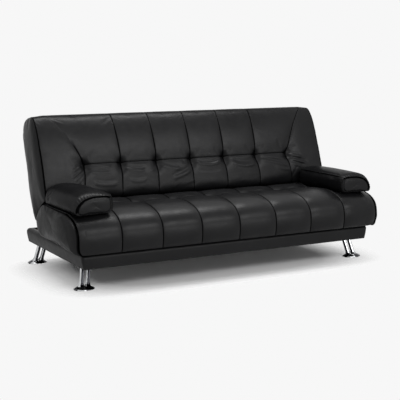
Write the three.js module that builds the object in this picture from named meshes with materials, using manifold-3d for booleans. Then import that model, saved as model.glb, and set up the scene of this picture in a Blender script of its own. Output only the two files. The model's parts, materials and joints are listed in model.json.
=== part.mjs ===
// Click-clack sofa bed: an upholstered rail base on four splayed chrome legs, a fixed channel-stitched
// seat with an arm pad over each end, and a back that tips forward to trip its ratchet hinges and then
// lies down flat behind the seat.
//
// Millimetres, +X to the right along the seat, -Y to the front, +Z up. The origin lies on the floor
// under the middle of the sofa.

import * as THREE from "three";
import { mergeVertices } from "three/addons/utils/BufferGeometryUtils.js";
import Module from "manifold-3d";

const wasm = await Module();
wasm.setup();

// Layout along X, from the middle of the sofa
const seatFrameHalfLength = 840; // outside of the seat's end rails
const seatEndPadding = 37;
const seatHalfLength = seatFrameHalfLength + seatEndPadding; // piped seam at each end of the seat
const backFrameSetIn = 4; // the back's frame is this much shorter at each end than the seat's
const backFrameHalfLength = seatFrameHalfLength - backFrameSetIn;
const backEndPadding = 26;
const backHalfLength = backFrameHalfLength + backEndPadding; // piped seam at each end of the back
const baseEndOverhang = 19; // the base's top edge beyond the seat's frame
const baseHalfLength = seatFrameHalfLength + baseEndOverhang;

// Layout along Y and Z
const baseFrontY = -385;
const baseDepth = 825;
const baseRearY = baseFrontY + baseDepth;
const baseUnderZ = 115;
const baseHeight = 75;
const baseTopZ = baseUnderZ + baseHeight;
const seatFrontOverhang = 44;
const seatFrontY = baseFrontY - seatFrontOverhang; // valley of the seat's front face
const pivotSetback = 565; // hinge line of the back, behind the base's front
const pivotY = baseFrontY + pivotSetback;
const pivotRise = 60; // above the base
const pivotZ = baseTopZ + pivotRise;
const seatRearGap = 8; // from the seat's rear face to the hinge line
const seatRearY = pivotY - seatRearGap; // valley of the seat's rounded rear face
const seatThickness = 198;
const seatTopZ = baseTopZ + seatThickness; // valley of the seat's top
const backLean = THREE.MathUtils.degToRad(21); // the back from upright, at rest
const touchGap = 0.3; // clearance between pieces that touch

// Base: wooden rails in a padded cover
const baseEndTaper = 12; // each end leans in by this towards the bottom
const baseTopRounding = 12;
const baseBottomRounding = 3;
const baseCornerRadius = 14;
const coverThickness = 8;
const railThickness = 22;
const crossRailX = 400;
const cornerBoardLength = 100; // along X
const cornerBoardDepth = 155; // along Y
const cornerBoardThickness = 22;
const cornerBoardChamfer = 25;
const dustCoverThickness = 1;
const dustCoverInset = 0.8; // dust cover above the cover's underside

// Legs: a screwed plate with two welded tubes, standing in an oval pressed foot
const footEndInset = 51; // middle of a foot from the base's end
const footFrontInset = 84;
const footRearInset = 58;
const footX = baseHalfLength - footEndInset;
const frontFootY = baseFrontY + footFrontInset;
const rearFootY = baseRearY - footRearInset;
const splayX = 0.19; // sideways run of a tube for each unit of drop
const splayY = 0.28; // forward or rearward run of a tube for each unit of drop
const tubeRadius = 11;
const tubeSpacing = 33;
const legPlateWidth = 84;
const legPlateDepth = 110;
const legPlateThickness = 5;
const legPlateCornerRadius = 10;
const legPlateHoleRadius = 3;
const legPlateHoleInset = 11;
const footHalfLength = 54;
const footHalfWidth = 35;
const footHeight = 12;
const footRimHeight = 3;
const footSocketHeight = 14; // flared collar round each tube, above the foot
const footSocketFlare = 6;
const footSocketWall = 1.5;
const footFloor = 5; // metal under a tube's end
const glideThickness = 2.2;
const glideInset = 4;
const tubeSides = 16;
const footSides = 28;

// Seat: a wooden frame with a deck, under one channelled cushion
const frameRailHeight = 60;
const frameRailThickness = 25;
const seatFrameFrontInset = 10; // behind the base's front
const seatFrameRearInset = 93; // rear face of the rear rail, in front of the hinge line
const seatSideRailRearInset = 65; // the side rails run on to carry the hinges
const seatFrameFrontY = baseFrontY + seatFrameFrontInset;
const seatFrameRearY = pivotY - seatFrameRearInset;
const seatSideRailRearY = pivotY - seatSideRailRearInset;
const seatDeckThickness = 9;
const channelCount = 8;
const seatEndPuff = 16;
const seatCrown = 11; // each channel's crown above its seams
const seatEndDrop = 10; // the cushion draws in by this towards its end seams
const seatGrooveDepth = 8; // shallow valley that joins the tufts
const seatTuftDepth = 9;

// Back: the same build in a frame that leans
const backLength = 562; // hinge line to the top, along the lean
const backFront = 187; // hinge line to the front face, square to the lean
const backRear = 58; // hinge line to the rear face, square to the lean
const backFrameRear = 25; // hinge line to the frame's rear face
const backFrameBottom = 55; // hinge line to the frame's lower end, along the lean
const backTopPadding = 57;
const backFrameTop = backLength - backTopPadding;
const backRailWidth = 40;
const backDeckThickness = 6;
const backEndPuff = 16;
const backCrown = 9;
const backEndDrop = 12;
const backGrooveDepth = 38; // the deep seam that joins the tufts
const backTuftDepth = 8;

// Stitching, shared by the seat and the back
const seatTuftSpread = 30;
const backTuftSpread = 30;
const seatGrooveSpread = 38;
const backGrooveSpread = 44;
const panelSeamInset = 7; // end panel's first ring inside the cushion's end outline
const panelEdgeThickness = 4;

// Arms: a padded board on a steel bracket at each end of the seat
const armEndInset = 1; // inside the seat's end seam
const armWidth = 195;
const armOuterX = seatHalfLength - armEndInset;
const armInnerX = armOuterX - armWidth;
const armFrontInset = 57; // behind the seat's front
const armFrontY = seatFrontY + armFrontInset;
const armBackGap = 25.2; // behind an arm's puffed rear, to the foot of the leaning back
const armSink = 11; // the arm's underside below the seat's top
const armHeight = 103;
const armUnderZ = seatTopZ - armSink;
const armTopZ = armUnderZ + armHeight;
const armPuff = 8;
const armCrown = 4;
const armPress = 1.5; // the seat's top is pressed down to this far below an arm
const armPressMargin = 22; // length over which the seat's top dips, inside an arm's inner face
const armBoardInset = 26;
const armBoardThickness = 22;
const armBoardFloor = 8; // padding under the board
const bracketThickness = 5;
const bracketProngWidth = 40;
const bracketFrontInset = 137; // middle of a prong from the arm's end
const bracketRearInset = 121;
const bracketStripHeight = 42;
const bracketRise = 6; // strip above the seat rail's lower edge

// Ratchet hinge
const platesThickness = 4;
const seatPlateLength = 240; // in front of the hinge line
const seatPlateRise = 7; // above the base
const seatPlateHeight = 46;
const seatPlateFrontY = pivotY - seatPlateLength;
const seatPlateLowerZ = baseTopZ + seatPlateRise;
const seatPlateUpperZ = seatPlateLowerZ + seatPlateHeight;
const hingeBossRadius = 24;
const hingePinRadius = 8;
const hingePinHeadRadius = 13;
const hingePinHeadThickness = 5;
const pinRunningGap = 0.3;
const sectorTipRadius = 41;
const sectorRootRadius = 35;
const sectorToothCount = 5;
const sectorTravel = THREE.MathUtils.degToRad(69); // upright to flat
const sectorFirstTooth = THREE.MathUtils.degToRad(291); // the upright notch, from the leaned +Y
const sectorSteepFlankShare = 0.12;
const backPlateLength = 215;
const pawlSetForward = 34; // the pawl's stud in front of the hinge line
const pawlDrop = 42; // and below it
const pawlPivotY = pivotY - pawlSetForward;
const pawlPivotZ = pivotZ - pawlDrop;
const pawlStudRadius = 4;
const pawlBossRadius = 10;
const pawlTipGap = 0.6; // the pawl's nose below the teeth
const pawlNoseLength = 33;
const pawlNoseDepth = 9;
const pawlNoseWidth = 8;
const pawlTailLength = 32;
const pawlTailDepth = 8;
const springThickness = 1.2;
const springRise = 22;
const springTabLength = 9;
const springTabHeight = 6;
const hingeSlotGap = 2; // round the hinge in the padding
const hingeSlotReach = 6; // slot beyond the teeth

// Cutting tools run past the faces that they cut by this
const overrun = 20;

// Shapes, as shares of the sizes that they follow, chosen by hand

// The seat's valley outline from the bottom of its front over the top to the bottom of its rear:
// share of the depth from the front face, share of the height above the base. The flag marks the tufts.
const seatOutlineShares = [
  [0.013, 0],
  [0, 0.3],
  [0.018, 0.6],
  [0.085, 0.82],
  [0.21, 0.955],
  [0.36, 1],
  [0.55, 1, "tufts"],
  [0.7, 0.99],
  [0.8, 0.95],
  [0.88, 0.84],
  [0.955, 0.65],
  [1, 0.45],
  [0.985, 0.27],
  [0.945, 0.09],
  [0.93, 0],
];

// The back's outline round its whole section: share of the depth in front of the hinge line where it
// is above 0, or behind it where it is below 0, and share of the length up the lean.
const backOutlineShares = [
  [-0.55, 0.045],
  [0.21, 0.115],
  [0.55, 0.152],
  [0.82, 0.17],
  [0.9, 0.23],
  [0.945, 0.31],
  [0.975, 0.4],
  [0.99, 0.49, "tufts"],
  [0.99, 0.6],
  [0.98, 0.74],
  [0.925, 0.875],
  [0.8, 0.965],
  [0.48, 1],
  [0.05, 0.985],
  [-0.52, 0.885],
  [-0.87, 0.58],
  [-1, 0.33],
  [-0.84, 0.15],
];

// Where the seat's padding is held by the back behind it, in shares of its depth, and where the back's
// padding comes free, in shares of its depth and length
const seatHeldShares = { from: 0.66, to: 0.88 };
const backSwellShares = { front: 0.6, foot: 0.15, top: 0.4 };

// Places of the rings across one channel, and the crown's sharpness at the seams
const channelRingShares = [0, 0.14, 0.5, 0.86];
const crownSharpness = 4;

// End panel rings: share of the puff, and share of the distance in from the seam to the middle
const panelRingShares = [
  [0.55, 0.03],
  [0.85, 0.14],
  [1, 0.34],
];

// An arm's section from the inner lower corner round over the top: share of the width, share of the height
const armOutlineShares = [
  [0, 0.1],
  [0, 0.72],
  [0.03, 0.83],
  [0.16, 0.92],
  [0.4, 1],
  [0.65, 0.99],
  [0.85, 0.86],
  [0.96, 0.63],
  [1, 0.36],
  [0.99, 0.1],
  [0.94, 0],
  [0.65, 0],
  [0.35, 0],
  [0.05, 0],
];
const armRingShares = [0.04, 0.2, 0.4, 0.6, 0.8, 0.96];

// An arm's end rings: share of the puff, and share of the way in to the section's middle
const armEndShares = [
  [1, 0.5],
  [0.8, 0.2],
  [0, 0],
];

// Materials
const finish = (color, roughness, metalness = 0) =>
  new THREE.MeshStandardMaterial({ color, roughness, metalness });
const leather = () => finish(0x1b1b1c, 0.42);
const pine = () => finish(0xc49a6a, 0.7);
const plywood = () => finish(0xb78d5d, 0.75);
const blackCloth = () => finish(0x101010, 0.95);
const chrome = () => finish(0xd8dadd, 0.08, 1);
const zincSteel = () => finish(0x9a9da1, 0.35, 1);
const blackPlastic = () => finish(0x161616, 0.6);

// Solid modelling helpers
function bare(geometry) {
  const plain = geometry.index ? geometry.toNonIndexed() : geometry;
  const positions = new THREE.BufferGeometry();
  positions.setAttribute("position", plain.getAttribute("position"));
  return mergeVertices(positions, touchGap / 1000);
}

function solidOf(geometry) {
  const merged = bare(geometry);
  return new wasm.Manifold(
    new wasm.Mesh({
      numProp: 3,
      vertProperties: new Float32Array(merged.attributes.position.array),
      triVerts: new Uint32Array(merged.index.array),
    }),
  );
}

function geometryOf(solid) {
  const data = solid.getMesh();
  const geometry = new THREE.BufferGeometry();
  const positions = new Float32Array(data.numVert * 3);
  for (let i = 0; i < data.numVert; i++) {
    positions.set(data.vertProperties.subarray(i * data.numProp, i * data.numProp + 3), i * 3);
  }
  geometry.setAttribute("position", new THREE.BufferAttribute(positions, 3));
  geometry.setIndex(new THREE.BufferAttribute(new Uint32Array(data.triVerts), 1));
  return geometry;
}

const cut = (body, ...tools) =>
  geometryOf(tools.reduce((rest, tool) => rest.subtract(solidOf(tool)), solidOf(body)));
const join = (body, ...others) =>
  geometryOf(others.reduce((sum, other) => sum.add(solidOf(other)), solidOf(body)));
const common = (body, other) => geometryOf(solidOf(body).intersect(solidOf(other)));

function box(x0, x1, y0, y1, z0, z1) {
  const geometry = new THREE.BoxGeometry(x1 - x0, y1 - y0, z1 - z0);
  return geometry.translate((x0 + x1) / 2, (y0 + y1) / 2, (z0 + z1) / 2);
}

function mirrored(geometry) {
  const flipped = bare(geometry).scale(-1, 1, 1);
  const index = flipped.index.array;
  for (let i = 0; i < index.length; i += 3) {
    [index[i + 1], index[i + 2]] = [index[i + 2], index[i + 1]];
  }
  return flipped;
}

// A shape drawn in (Y, Z), extruded from x0 to x1.
function extrudeAlongX(shape, x0, x1, curveSegments = 12) {
  const geometry = new THREE.ExtrudeGeometry(shape, { depth: x1 - x0, bevelEnabled: false, curveSegments });
  const basis = new THREE.Matrix4().makeBasis(
    new THREE.Vector3(0, 1, 0),
    new THREE.Vector3(0, 0, 1),
    new THREE.Vector3(1, 0, 0),
  );
  return geometry.applyMatrix4(basis).translate(x0, 0, 0);
}

// A shape drawn in (X, Y), extruded from z0 to z1.
function extrudeAlongZ(shape, z0, z1, curveSegments = 6) {
  const geometry = new THREE.ExtrudeGeometry(shape, { depth: z1 - z0, bevelEnabled: false, curveSegments });
  return geometry.translate(0, 0, z0);
}

const polygon = (points) => new THREE.Shape(points.map(([a, b]) => new THREE.Vector2(a, b)));

function roundedRectangle(x0, x1, y0, y1, radius) {
  const shape = new THREE.Shape();
  shape.absarc(x1 - radius, y0 + radius, radius, -Math.PI / 2, 0, false);
  shape.absarc(x1 - radius, y1 - radius, radius, 0, Math.PI / 2, false);
  shape.absarc(x0 + radius, y1 - radius, radius, Math.PI / 2, Math.PI, false);
  shape.absarc(x0 + radius, y0 + radius, radius, Math.PI, Math.PI * 1.5, false);
  return shape;
}

// A closed skin through rings of equally many points, each end capped by a fan about its middle.
function loft(rings) {
  const count = rings[0].length;
  const first = rings[0];
  const last = rings[rings.length - 1];
  const points = [...rings.flat(), middleOf(first), middleOf(last)];
  const firstMiddle = points.length - 2;
  const lastRing = (rings.length - 1) * count;
  const index = [];
  for (let i = 0; i < count; i++) {
    const j = (i + 1) % count;
    for (let r = 0; r < lastRing; r += count) {
      const [a, b, c, d] = [r + i, r + j, r + count + j, r + count + i];
      index.push(a, b, c, a, c, d);
    }
    index.push(firstMiddle, j, i, firstMiddle + 1, lastRing + i, lastRing + j);
  }
  const geometry = new THREE.BufferGeometry().setFromPoints(points);
  geometry.setIndex(index);
  return facingOut(geometry);
}

const middleOf = (ring) =>
  ring.reduce((sum, point) => sum.add(point), new THREE.Vector3()).divideScalar(ring.length);

function facingOut(geometry) {
  const p = geometry.attributes.position;
  const index = geometry.index.array;
  const [a, b, c] = [new THREE.Vector3(), new THREE.Vector3(), new THREE.Vector3()];
  let volume = 0;
  for (let i = 0; i < index.length; i += 3) {
    a.fromBufferAttribute(p, index[i]);
    b.fromBufferAttribute(p, index[i + 1]);
    c.fromBufferAttribute(p, index[i + 2]);
    volume += a.dot(b.cross(c));
  }
  if (volume < 0) {
    for (let i = 0; i < index.length; i += 3) {
      [index[i + 1], index[i + 2]] = [index[i + 2], index[i + 1]];
    }
  }
  return geometry;
}

// A cylinder from one point to another, with a radius at each.
function rod(from, to, fromRadius, toRadius = fromRadius, sides = tubeSides) {
  const axis = new THREE.Vector3().subVectors(to, from);
  const geometry = new THREE.CylinderGeometry(toRadius, fromRadius, axis.length(), sides);
  const turn = new THREE.Quaternion().setFromUnitVectors(
    new THREE.Vector3(0, 1, 0),
    axis.clone().normalize(),
  );
  geometry.applyQuaternion(turn);
  const middle = from.clone().add(to).multiplyScalar(0.5);
  return geometry.translate(middle.x, middle.y, middle.z);
}

function piece(name, geometry, material) {
  const mesh = new THREE.Mesh(geometry, material);
  mesh.name = name;
  return mesh;
}

const smoothstep = (t) => THREE.MathUtils.smoothstep(t, 0, 1);
const bell = (distance, spread) => Math.exp(-0.5 * (distance / spread) ** 2);

// Cushion outlines

// A smooth outline through its control points, which run forwards, up, rearwards and down, as samples
// { y, z, ny, nz, along, free }: the outward normal, the distance along the outline, and 1 where the
// padding is free to swell or 0 where it is held.
function sampledOutline(controls, closed, samplesPerSpan) {
  const curve = new THREE.CatmullRomCurve3(
    controls.map(([y, z]) => new THREE.Vector3(0, y, z)),
    closed,
    "centripetal",
  );
  const spans = closed ? controls.length : controls.length - 1;
  const total = spans * samplesPerSpan;
  const samples = [];
  let along = 0;
  for (let i = 0; i < total + (closed ? 0 : 1); i++) {
    const point = curve.getPoint(i / total);
    const tangent = curve.getTangent(i / total);
    if (i > 0) along += point.distanceTo(samples[i - 1].point);
    const sealed = !closed && (i === 0 || i === total);
    const free = sealed ? 0 : 1;
    samples.push({ point, y: point.y, z: point.z, ny: -tangent.z, nz: tangent.y, along, free });
  }
  const tuft = Math.max(0, controls.findIndex((control) => control[2] === "tufts"));
  return { samples, tuftAlong: samples[tuft * samplesPerSpan].along };
}

// How far the padding at one sample stands out from the valley outline, at a place along the length.
function swell(sample, x, spec, tuftAlong) {
  const pitch = (2 * spec.halfLength) / channelCount;
  const share = ((x / pitch) % 1 + 1) % 1;
  const crown = spec.crown * (1 - Math.abs(2 * share - 1) ** crownSharpness);
  const lastTuft = pitch * (channelCount / 2 - 1);
  const beyond = smoothstep((Math.abs(x) - lastTuft) / (spec.halfLength - lastTuft));
  const offLine = sample.along - tuftAlong;
  const groove = spec.grooveDepth * bell(offLine, spec.grooveSpread) * (1 - beyond);
  const nearest = THREE.MathUtils.clamp(Math.round(x / pitch) * pitch, -lastTuft, lastTuft);
  const tuft = spec.tuftDepth * bell(offLine, spec.tuftSpread) * bell(x - nearest, spec.tuftSpread);
  return sample.free * (crown - groove - tuft - spec.endDrop * beyond);
}

function cushionRing(outline, x, spec) {
  return outline.samples.map((sample) => {
    const out = swell(sample, x, spec, outline.tuftAlong);
    const z = Math.min(sample.z + sample.nz * out, spec.ceilingAt(x));
    return new THREE.Vector3(x, sample.y + sample.ny * out, z);
  });
}

function channelledCushion(outline, spec) {
  const pitch = (2 * spec.halfLength) / channelCount;
  const places = [];
  for (let channel = 0; channel < channelCount; channel++) {
    for (const share of channelRingShares) places.push((channel + share) * pitch - spec.halfLength);
  }
  places.push(spec.halfLength);
  return loft(places.map((x) => cushionRing(outline, x, spec)));
}

// A puffed pad on the right-hand end of a cushion, drawn in from the cushion's end outline.
function endPanel(outline, spec) {
  const edge = cushionRing(outline, spec.halfLength, spec);
  const middle = middleOf(edge);
  const reach = Math.max(...edge.map((point) => point.distanceTo(middle)));
  const inwards = (share, x) =>
    edge.map((point) => new THREE.Vector3().lerpVectors(point, middle, share).setX(x));
  const root = spec.halfLength + touchGap;
  const rings = [inwards(panelSeamInset / reach, root)];
  rings.push(inwards(panelSeamInset / reach / 2, root + panelEdgeThickness / 2));
  for (const [puffShare, inShare] of panelRingShares) {
    rings.push(inwards(inShare + panelSeamInset / reach, root + spec.endPuff * puffShare));
  }
  return loft(rings);
}

// Base

const railCoreOuterX = baseHalfLength - baseEndTaper - coverThickness;
const railCoreInnerX = railCoreOuterX - railThickness;
const railCoreFrontY = baseFrontY + coverThickness;
const railCoreRearY = baseRearY - coverThickness;
const railInnerFrontY = railCoreFrontY + railThickness;
const railInnerRearY = railCoreRearY - railThickness;
const railLowerZ = baseUnderZ + coverThickness;
const railUpperZ = baseTopZ - coverThickness;

// The padded base's outside: rounded in plan, rounded along its top edge, its ends leaning in.
function baseEnvelope() {
  const ring = (z, inset) => {
    const lean = (baseEndTaper * (baseTopZ - z)) / (baseTopZ - baseUnderZ);
    const halfLength = baseHalfLength - lean - inset;
    const radius = baseCornerRadius;
    const outline = roundedRectangle(-halfLength, halfLength, baseFrontY + inset, baseRearY - inset, radius);
    return outline.getPoints(4).slice(0, -1).map((point) => new THREE.Vector3(point.x, point.y, z));
  };
  const rings = [
    ring(baseUnderZ, baseBottomRounding),
    ring(baseUnderZ + baseBottomRounding, 0),
  ];
  const arcSteps = 3;
  for (let i = 0; i <= arcSteps; i++) {
    const angle = ((Math.PI / 2) * i) / arcSteps;
    const z = baseTopZ - baseTopRounding * (1 - Math.sin(angle));
    rings.push(ring(z, baseTopRounding * (1 - Math.cos(angle))));
  }
  return loft(rings);
}

// One side of the padded cover, mitred at its ends, hollow for its rail and open to the inside.
function baseCovers() {
  const rails = box(
    -railCoreOuterX - touchGap, railCoreOuterX + touchGap,
    railCoreFrontY - touchGap, railCoreRearY + touchGap,
    railLowerZ - touchGap, railUpperZ + touchGap,
  );
  const inside = box(
    -railCoreInnerX, railCoreInnerX, railInnerFrontY, railInnerRearY,
    baseUnderZ - overrun, baseTopZ + overrun,
  );
  const skin = cut(baseEnvelope(), rails, inside);
  const gap = touchGap / 2;
  const [outX, outFront, outRear] = [baseHalfLength, baseFrontY, baseRearY];
  const inX = railCoreInnerX;
  const corner = (signX, signY, outward) => {
    const innerY = signY < 0 ? railInnerFrontY : railInnerRearY;
    const outerY = signY < 0 ? outFront : outRear;
    const reach = outward ? 1 + overrun / (outX - inX) : 0;
    return [signX * (inX + (outX - inX) * reach), innerY + (outerY - innerY) * reach];
  };
  const wedge = (a, b, shiftX, shiftY) => {
    const points = [corner(...a, true), corner(...b, true), corner(...b, false), corner(...a, false)];
    const shifted = points.map(([x, y]) => [x + shiftX, y + shiftY]);
    return extrudeAlongZ(polygon(shifted), baseUnderZ - overrun, baseTopZ + overrun);
  };
  const sides = {
    front: wedge([-1, -1], [1, -1], 0, -gap * 2),
    rear: wedge([1, 1], [-1, 1], 0, gap * 2),
    left: wedge([-1, 1], [-1, -1], -gap, 0),
    right: wedge([1, -1], [1, 1], gap, 0),
  };
  return Object.entries(sides).map(([side, region]) =>
    piece(`base_${side}_cover`, common(skin, region), leather()),
  );
}

function baseRails() {
  const long = (y0) =>
    box(-railCoreOuterX, railCoreOuterX, y0, y0 + railThickness, railLowerZ, railUpperZ);
  const side = box(
    railCoreInnerX, railCoreOuterX, railInnerFrontY + touchGap, railInnerRearY - touchGap,
    railLowerZ, railUpperZ,
  );
  return [
    piece("base_front_rail", long(railCoreFrontY), pine()),
    piece("base_rear_rail", long(railInnerRearY), pine()),
    piece("base_left_rail", mirrored(side), pine()),
    piece("base_right_rail", side, pine()),
  ];
}

function crossRails() {
  const rail = box(
    crossRailX - railThickness / 2, crossRailX + railThickness / 2,
    railInnerFrontY + touchGap, railInnerRearY - touchGap, railLowerZ, baseTopZ,
  );
  return [
    piece("base_cross_rail_left", mirrored(rail), pine()),
    piece("base_cross_rail_right", rail, pine()),
  ];
}

// A leg's numbers for one corner: signs of its place, the middle of its foot and the tubes' direction.
function legAt(signX, signY) {
  const footY = signY < 0 ? frontFootY : rearFootY;
  const centre = (z) =>
    new THREE.Vector3(signX * (footX - splayX * z), footY - signY * splayY * z, z);
  const name = `${signY < 0 ? "front" : "rear"}_${signX < 0 ? "left" : "right"}`;
  return { signX, signY, centre, name };
}

const legCorners = [legAt(-1, -1), legAt(1, -1), legAt(-1, 1), legAt(1, 1)];
const legPlateTopZ = railLowerZ - touchGap;
const legPlateUnderZ = legPlateTopZ - legPlateThickness;
const footUnderZ = glideThickness + touchGap;

// The board across an inner corner of the base that a leg is screwed to.
function cornerBoard(leg) {
  const x0 = railCoreInnerX - touchGap;
  const wall = leg.signY < 0 ? railInnerFrontY + touchGap : railInnerRearY - touchGap;
  const end = wall - leg.signY * cornerBoardDepth;
  const shape = polygon([
    [x0, wall],
    [x0, end],
    [x0 - cornerBoardLength + cornerBoardChamfer, end],
    [x0 - cornerBoardLength, end + leg.signY * cornerBoardChamfer],
    [x0 - cornerBoardLength, wall],
  ]);
  const board = extrudeAlongZ(shape, railLowerZ, railLowerZ + cornerBoardThickness);
  return piece(`corner_board_${leg.name}`, leg.signX < 0 ? mirrored(board) : board, plywood());
}

function tubeEnds(leg, offset, fromZ, toZ) {
  const shift = new THREE.Vector3(offset, 0, 0);
  return [leg.centre(fromZ).add(shift), leg.centre(toZ).add(shift)];
}

const tubeOffsets = [-tubeSpacing / 2, tubeSpacing / 2];

function legWeldment(leg) {
  const middle = leg.centre(legPlateUnderZ);
  const plateX = leg.signX * (railCoreInnerX - touchGap - legPlateWidth / 2);
  const [halfWidth, halfDepth] = [legPlateWidth / 2, legPlateDepth / 2];
  const outline = roundedRectangle(-halfWidth, halfWidth, -halfDepth, halfDepth, legPlateCornerRadius);
  for (const sx of [-1, 1]) {
    for (const sy of [-1, 1]) {
      const hole = new THREE.Path();
      const x = sx * (halfWidth - legPlateHoleInset);
      const y = sy * (halfDepth - legPlateHoleInset);
      hole.absarc(x, y, legPlateHoleRadius, 0, Math.PI * 2, false);
      outline.holes.push(hole);
    }
  }
  const plate = extrudeAlongZ(outline, legPlateUnderZ, legPlateTopZ, 3).translate(plateX, middle.y, 0);
  const tubes = tubeOffsets.map((offset) =>
    rod(...tubeEnds(leg, offset, footUnderZ + footFloor + touchGap, legPlateTopZ + overrun), tubeRadius),
  );
  const above = box(
    plateX - legPlateWidth, plateX + legPlateWidth, middle.y - legPlateDepth, middle.y + legPlateDepth,
    legPlateTopZ - legPlateThickness / 2, legPlateTopZ + overrun * 2,
  );
  return piece(`leg_${leg.name}`, join(plate, cut(join(...tubes), above)), chrome());
}

function ellipseRing(centre, halfLength, halfWidth, z) {
  return Array.from({ length: footSides }, (_, i) => {
    const angle = (2 * Math.PI * i) / footSides;
    return new THREE.Vector3(
      centre.x + halfLength * Math.cos(angle),
      centre.y + halfWidth * Math.sin(angle),
      z,
    );
  });
}

// A pressed oval foot with a flared socket round each tube.
function foot(leg) {
  const centre = leg.centre(0);
  const dome = [[0.97, 0], [1, footRimHeight / 2], [0.93, footRimHeight], [0.72, footHeight]];
  const body = loft(
    dome.map(([share, rise]) =>
      ellipseRing(centre, footHalfLength * share, footHalfWidth * share, footUnderZ + rise),
    ),
  );
  const wall = tubeRadius + footSocketWall;
  const top = footUnderZ + footHeight + footSocketHeight;
  const sockets = tubeOffsets.map((offset) =>
    rod(...tubeEnds(leg, offset, footUnderZ + footFloor, top), wall + footSocketFlare, wall),
  );
  const bores = tubeOffsets.map((offset) =>
    rod(...tubeEnds(leg, offset, footUnderZ + footFloor, top + overrun), tubeRadius + touchGap),
  );
  const below = box(
    centre.x - footHalfLength, centre.x + footHalfLength, centre.y - footHalfWidth * 2,
    centre.y + footHalfWidth * 2, footUnderZ - overrun, footUnderZ,
  );
  return piece(`foot_${leg.name}`, cut(join(body, ...sockets), below, ...bores), chrome());
}

function glide(leg) {
  const centre = leg.centre(0);
  const [a, b] = [footHalfLength - glideInset, footHalfWidth - glideInset];
  const pad = loft([0, glideThickness].map((z) => ellipseRing(centre, a, b, z)));
  return piece(`glide_${leg.name}`, pad, blackPlastic());
}

// Black cloth stapled inside the underside, let out round the tubes.
function dustCover() {
  const z = baseUnderZ + dustCoverInset;
  const sheet = box(
    -railCoreInnerX + touchGap, railCoreInnerX - touchGap,
    railInnerFrontY + touchGap, railInnerRearY - touchGap, z, z + dustCoverThickness,
  );
  const openings = legCorners.map((leg) => {
    const middle = leg.centre(z);
    const [a, b] = [tubeSpacing / 2 + tubeRadius * 1.5, tubeRadius * 1.5];
    return box(middle.x - a, middle.x + a, middle.y - b, middle.y + b, z - overrun, z + overrun);
  });
  return piece("dust_cover", cut(sheet, ...openings), blackCloth());
}

// Seat

const seatUnderZ = baseTopZ + touchGap;
const seatRailTopZ = seatUnderZ + frameRailHeight;
const seatDeckZ = seatRailTopZ + touchGap;
const seatDeckTopZ = seatDeckZ + seatDeckThickness;
const seatSideInnerX = seatFrameHalfLength - frameRailThickness;
const seatPlateX = seatSideInnerX - touchGap; // outer face of the hinge's seat plate
const backPlateX = seatPlateX - platesThickness - touchGap; // outer face of the hinge's back plate
const hingeInnerX = backPlateX - platesThickness;

// The height that the arms let the seat's top reach at a place along it.
function pressedSeatTop(x) {
  const pressedShare = smoothstep((Math.abs(x) - armInnerX + armPressMargin) / armPressMargin);
  return THREE.MathUtils.lerp(seatTopZ + seatCrown, armUnderZ - armPress, pressedShare);
}

const seatSpec = {
  halfLength: seatHalfLength,
  crown: seatCrown,
  endDrop: seatEndDrop,
  grooveDepth: seatGrooveDepth,
  grooveSpread: seatGrooveSpread,
  tuftDepth: seatTuftDepth,
  tuftSpread: seatTuftSpread,
  endPuff: seatEndPuff,
  ceilingAt: pressedSeatTop,
};

const seatOutline = sampledOutline(
  seatOutlineShares.map(([depthShare, heightShare, mark]) => [
    seatFrontY + depthShare * (seatRearY - seatFrontY),
    seatUnderZ + heightShare * (seatTopZ - seatUnderZ),
    mark,
  ]),
  false,
  2,
);

// The rear face, pressed against the back, holds its line.
const heldRange = seatHeldShares.to - seatHeldShares.from;
for (const sample of seatOutline.samples) {
  const rearShare = (sample.y - seatFrontY) / (seatRearY - seatFrontY);
  sample.free *= 1 - smoothstep((rearShare - seatHeldShares.from) / heldRange);
}

function seatFrame() {
  const sideFrontY = seatFrameFrontY + frameRailThickness + touchGap;
  const side = box(
    seatSideInnerX, seatFrameHalfLength, sideFrontY, seatSideRailRearY, seatUnderZ, seatRailTopZ,
  );
  const front = box(
    -seatFrameHalfLength, seatFrameHalfLength, seatFrameFrontY, seatFrameFrontY + frameRailThickness,
    seatUnderZ, seatRailTopZ,
  );
  const rearHalfLength = seatPlateX - platesThickness - touchGap;
  const rear = box(
    -rearHalfLength, rearHalfLength, seatFrameRearY - frameRailThickness, seatFrameRearY,
    seatUnderZ, seatRailTopZ,
  );
  const deck = box(
    -seatFrameHalfLength, seatFrameHalfLength, seatFrameFrontY, seatFrameRearY, seatDeckZ, seatDeckTopZ,
  );
  return [
    piece("seat_front_rail", front, pine()),
    piece("seat_rear_rail", rear, pine()),
    piece("seat_left_rail", mirrored(side), pine()),
    piece("seat_right_rail", side, pine()),
    piece("seat_deck", deck, plywood()),
  ];
}

// The room that a hinge needs inside the padding on the right: a drum round its teeth.
function hingeDrum() {
  const outerX = seatPlateX + hingePinHeadThickness + hingeSlotGap;
  const innerX = hingeInnerX - hingePinHeadThickness - hingeSlotGap;
  const radius = sectorTipRadius + hingeSlotReach;
  return { innerX, outerX, radius };
}

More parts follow.
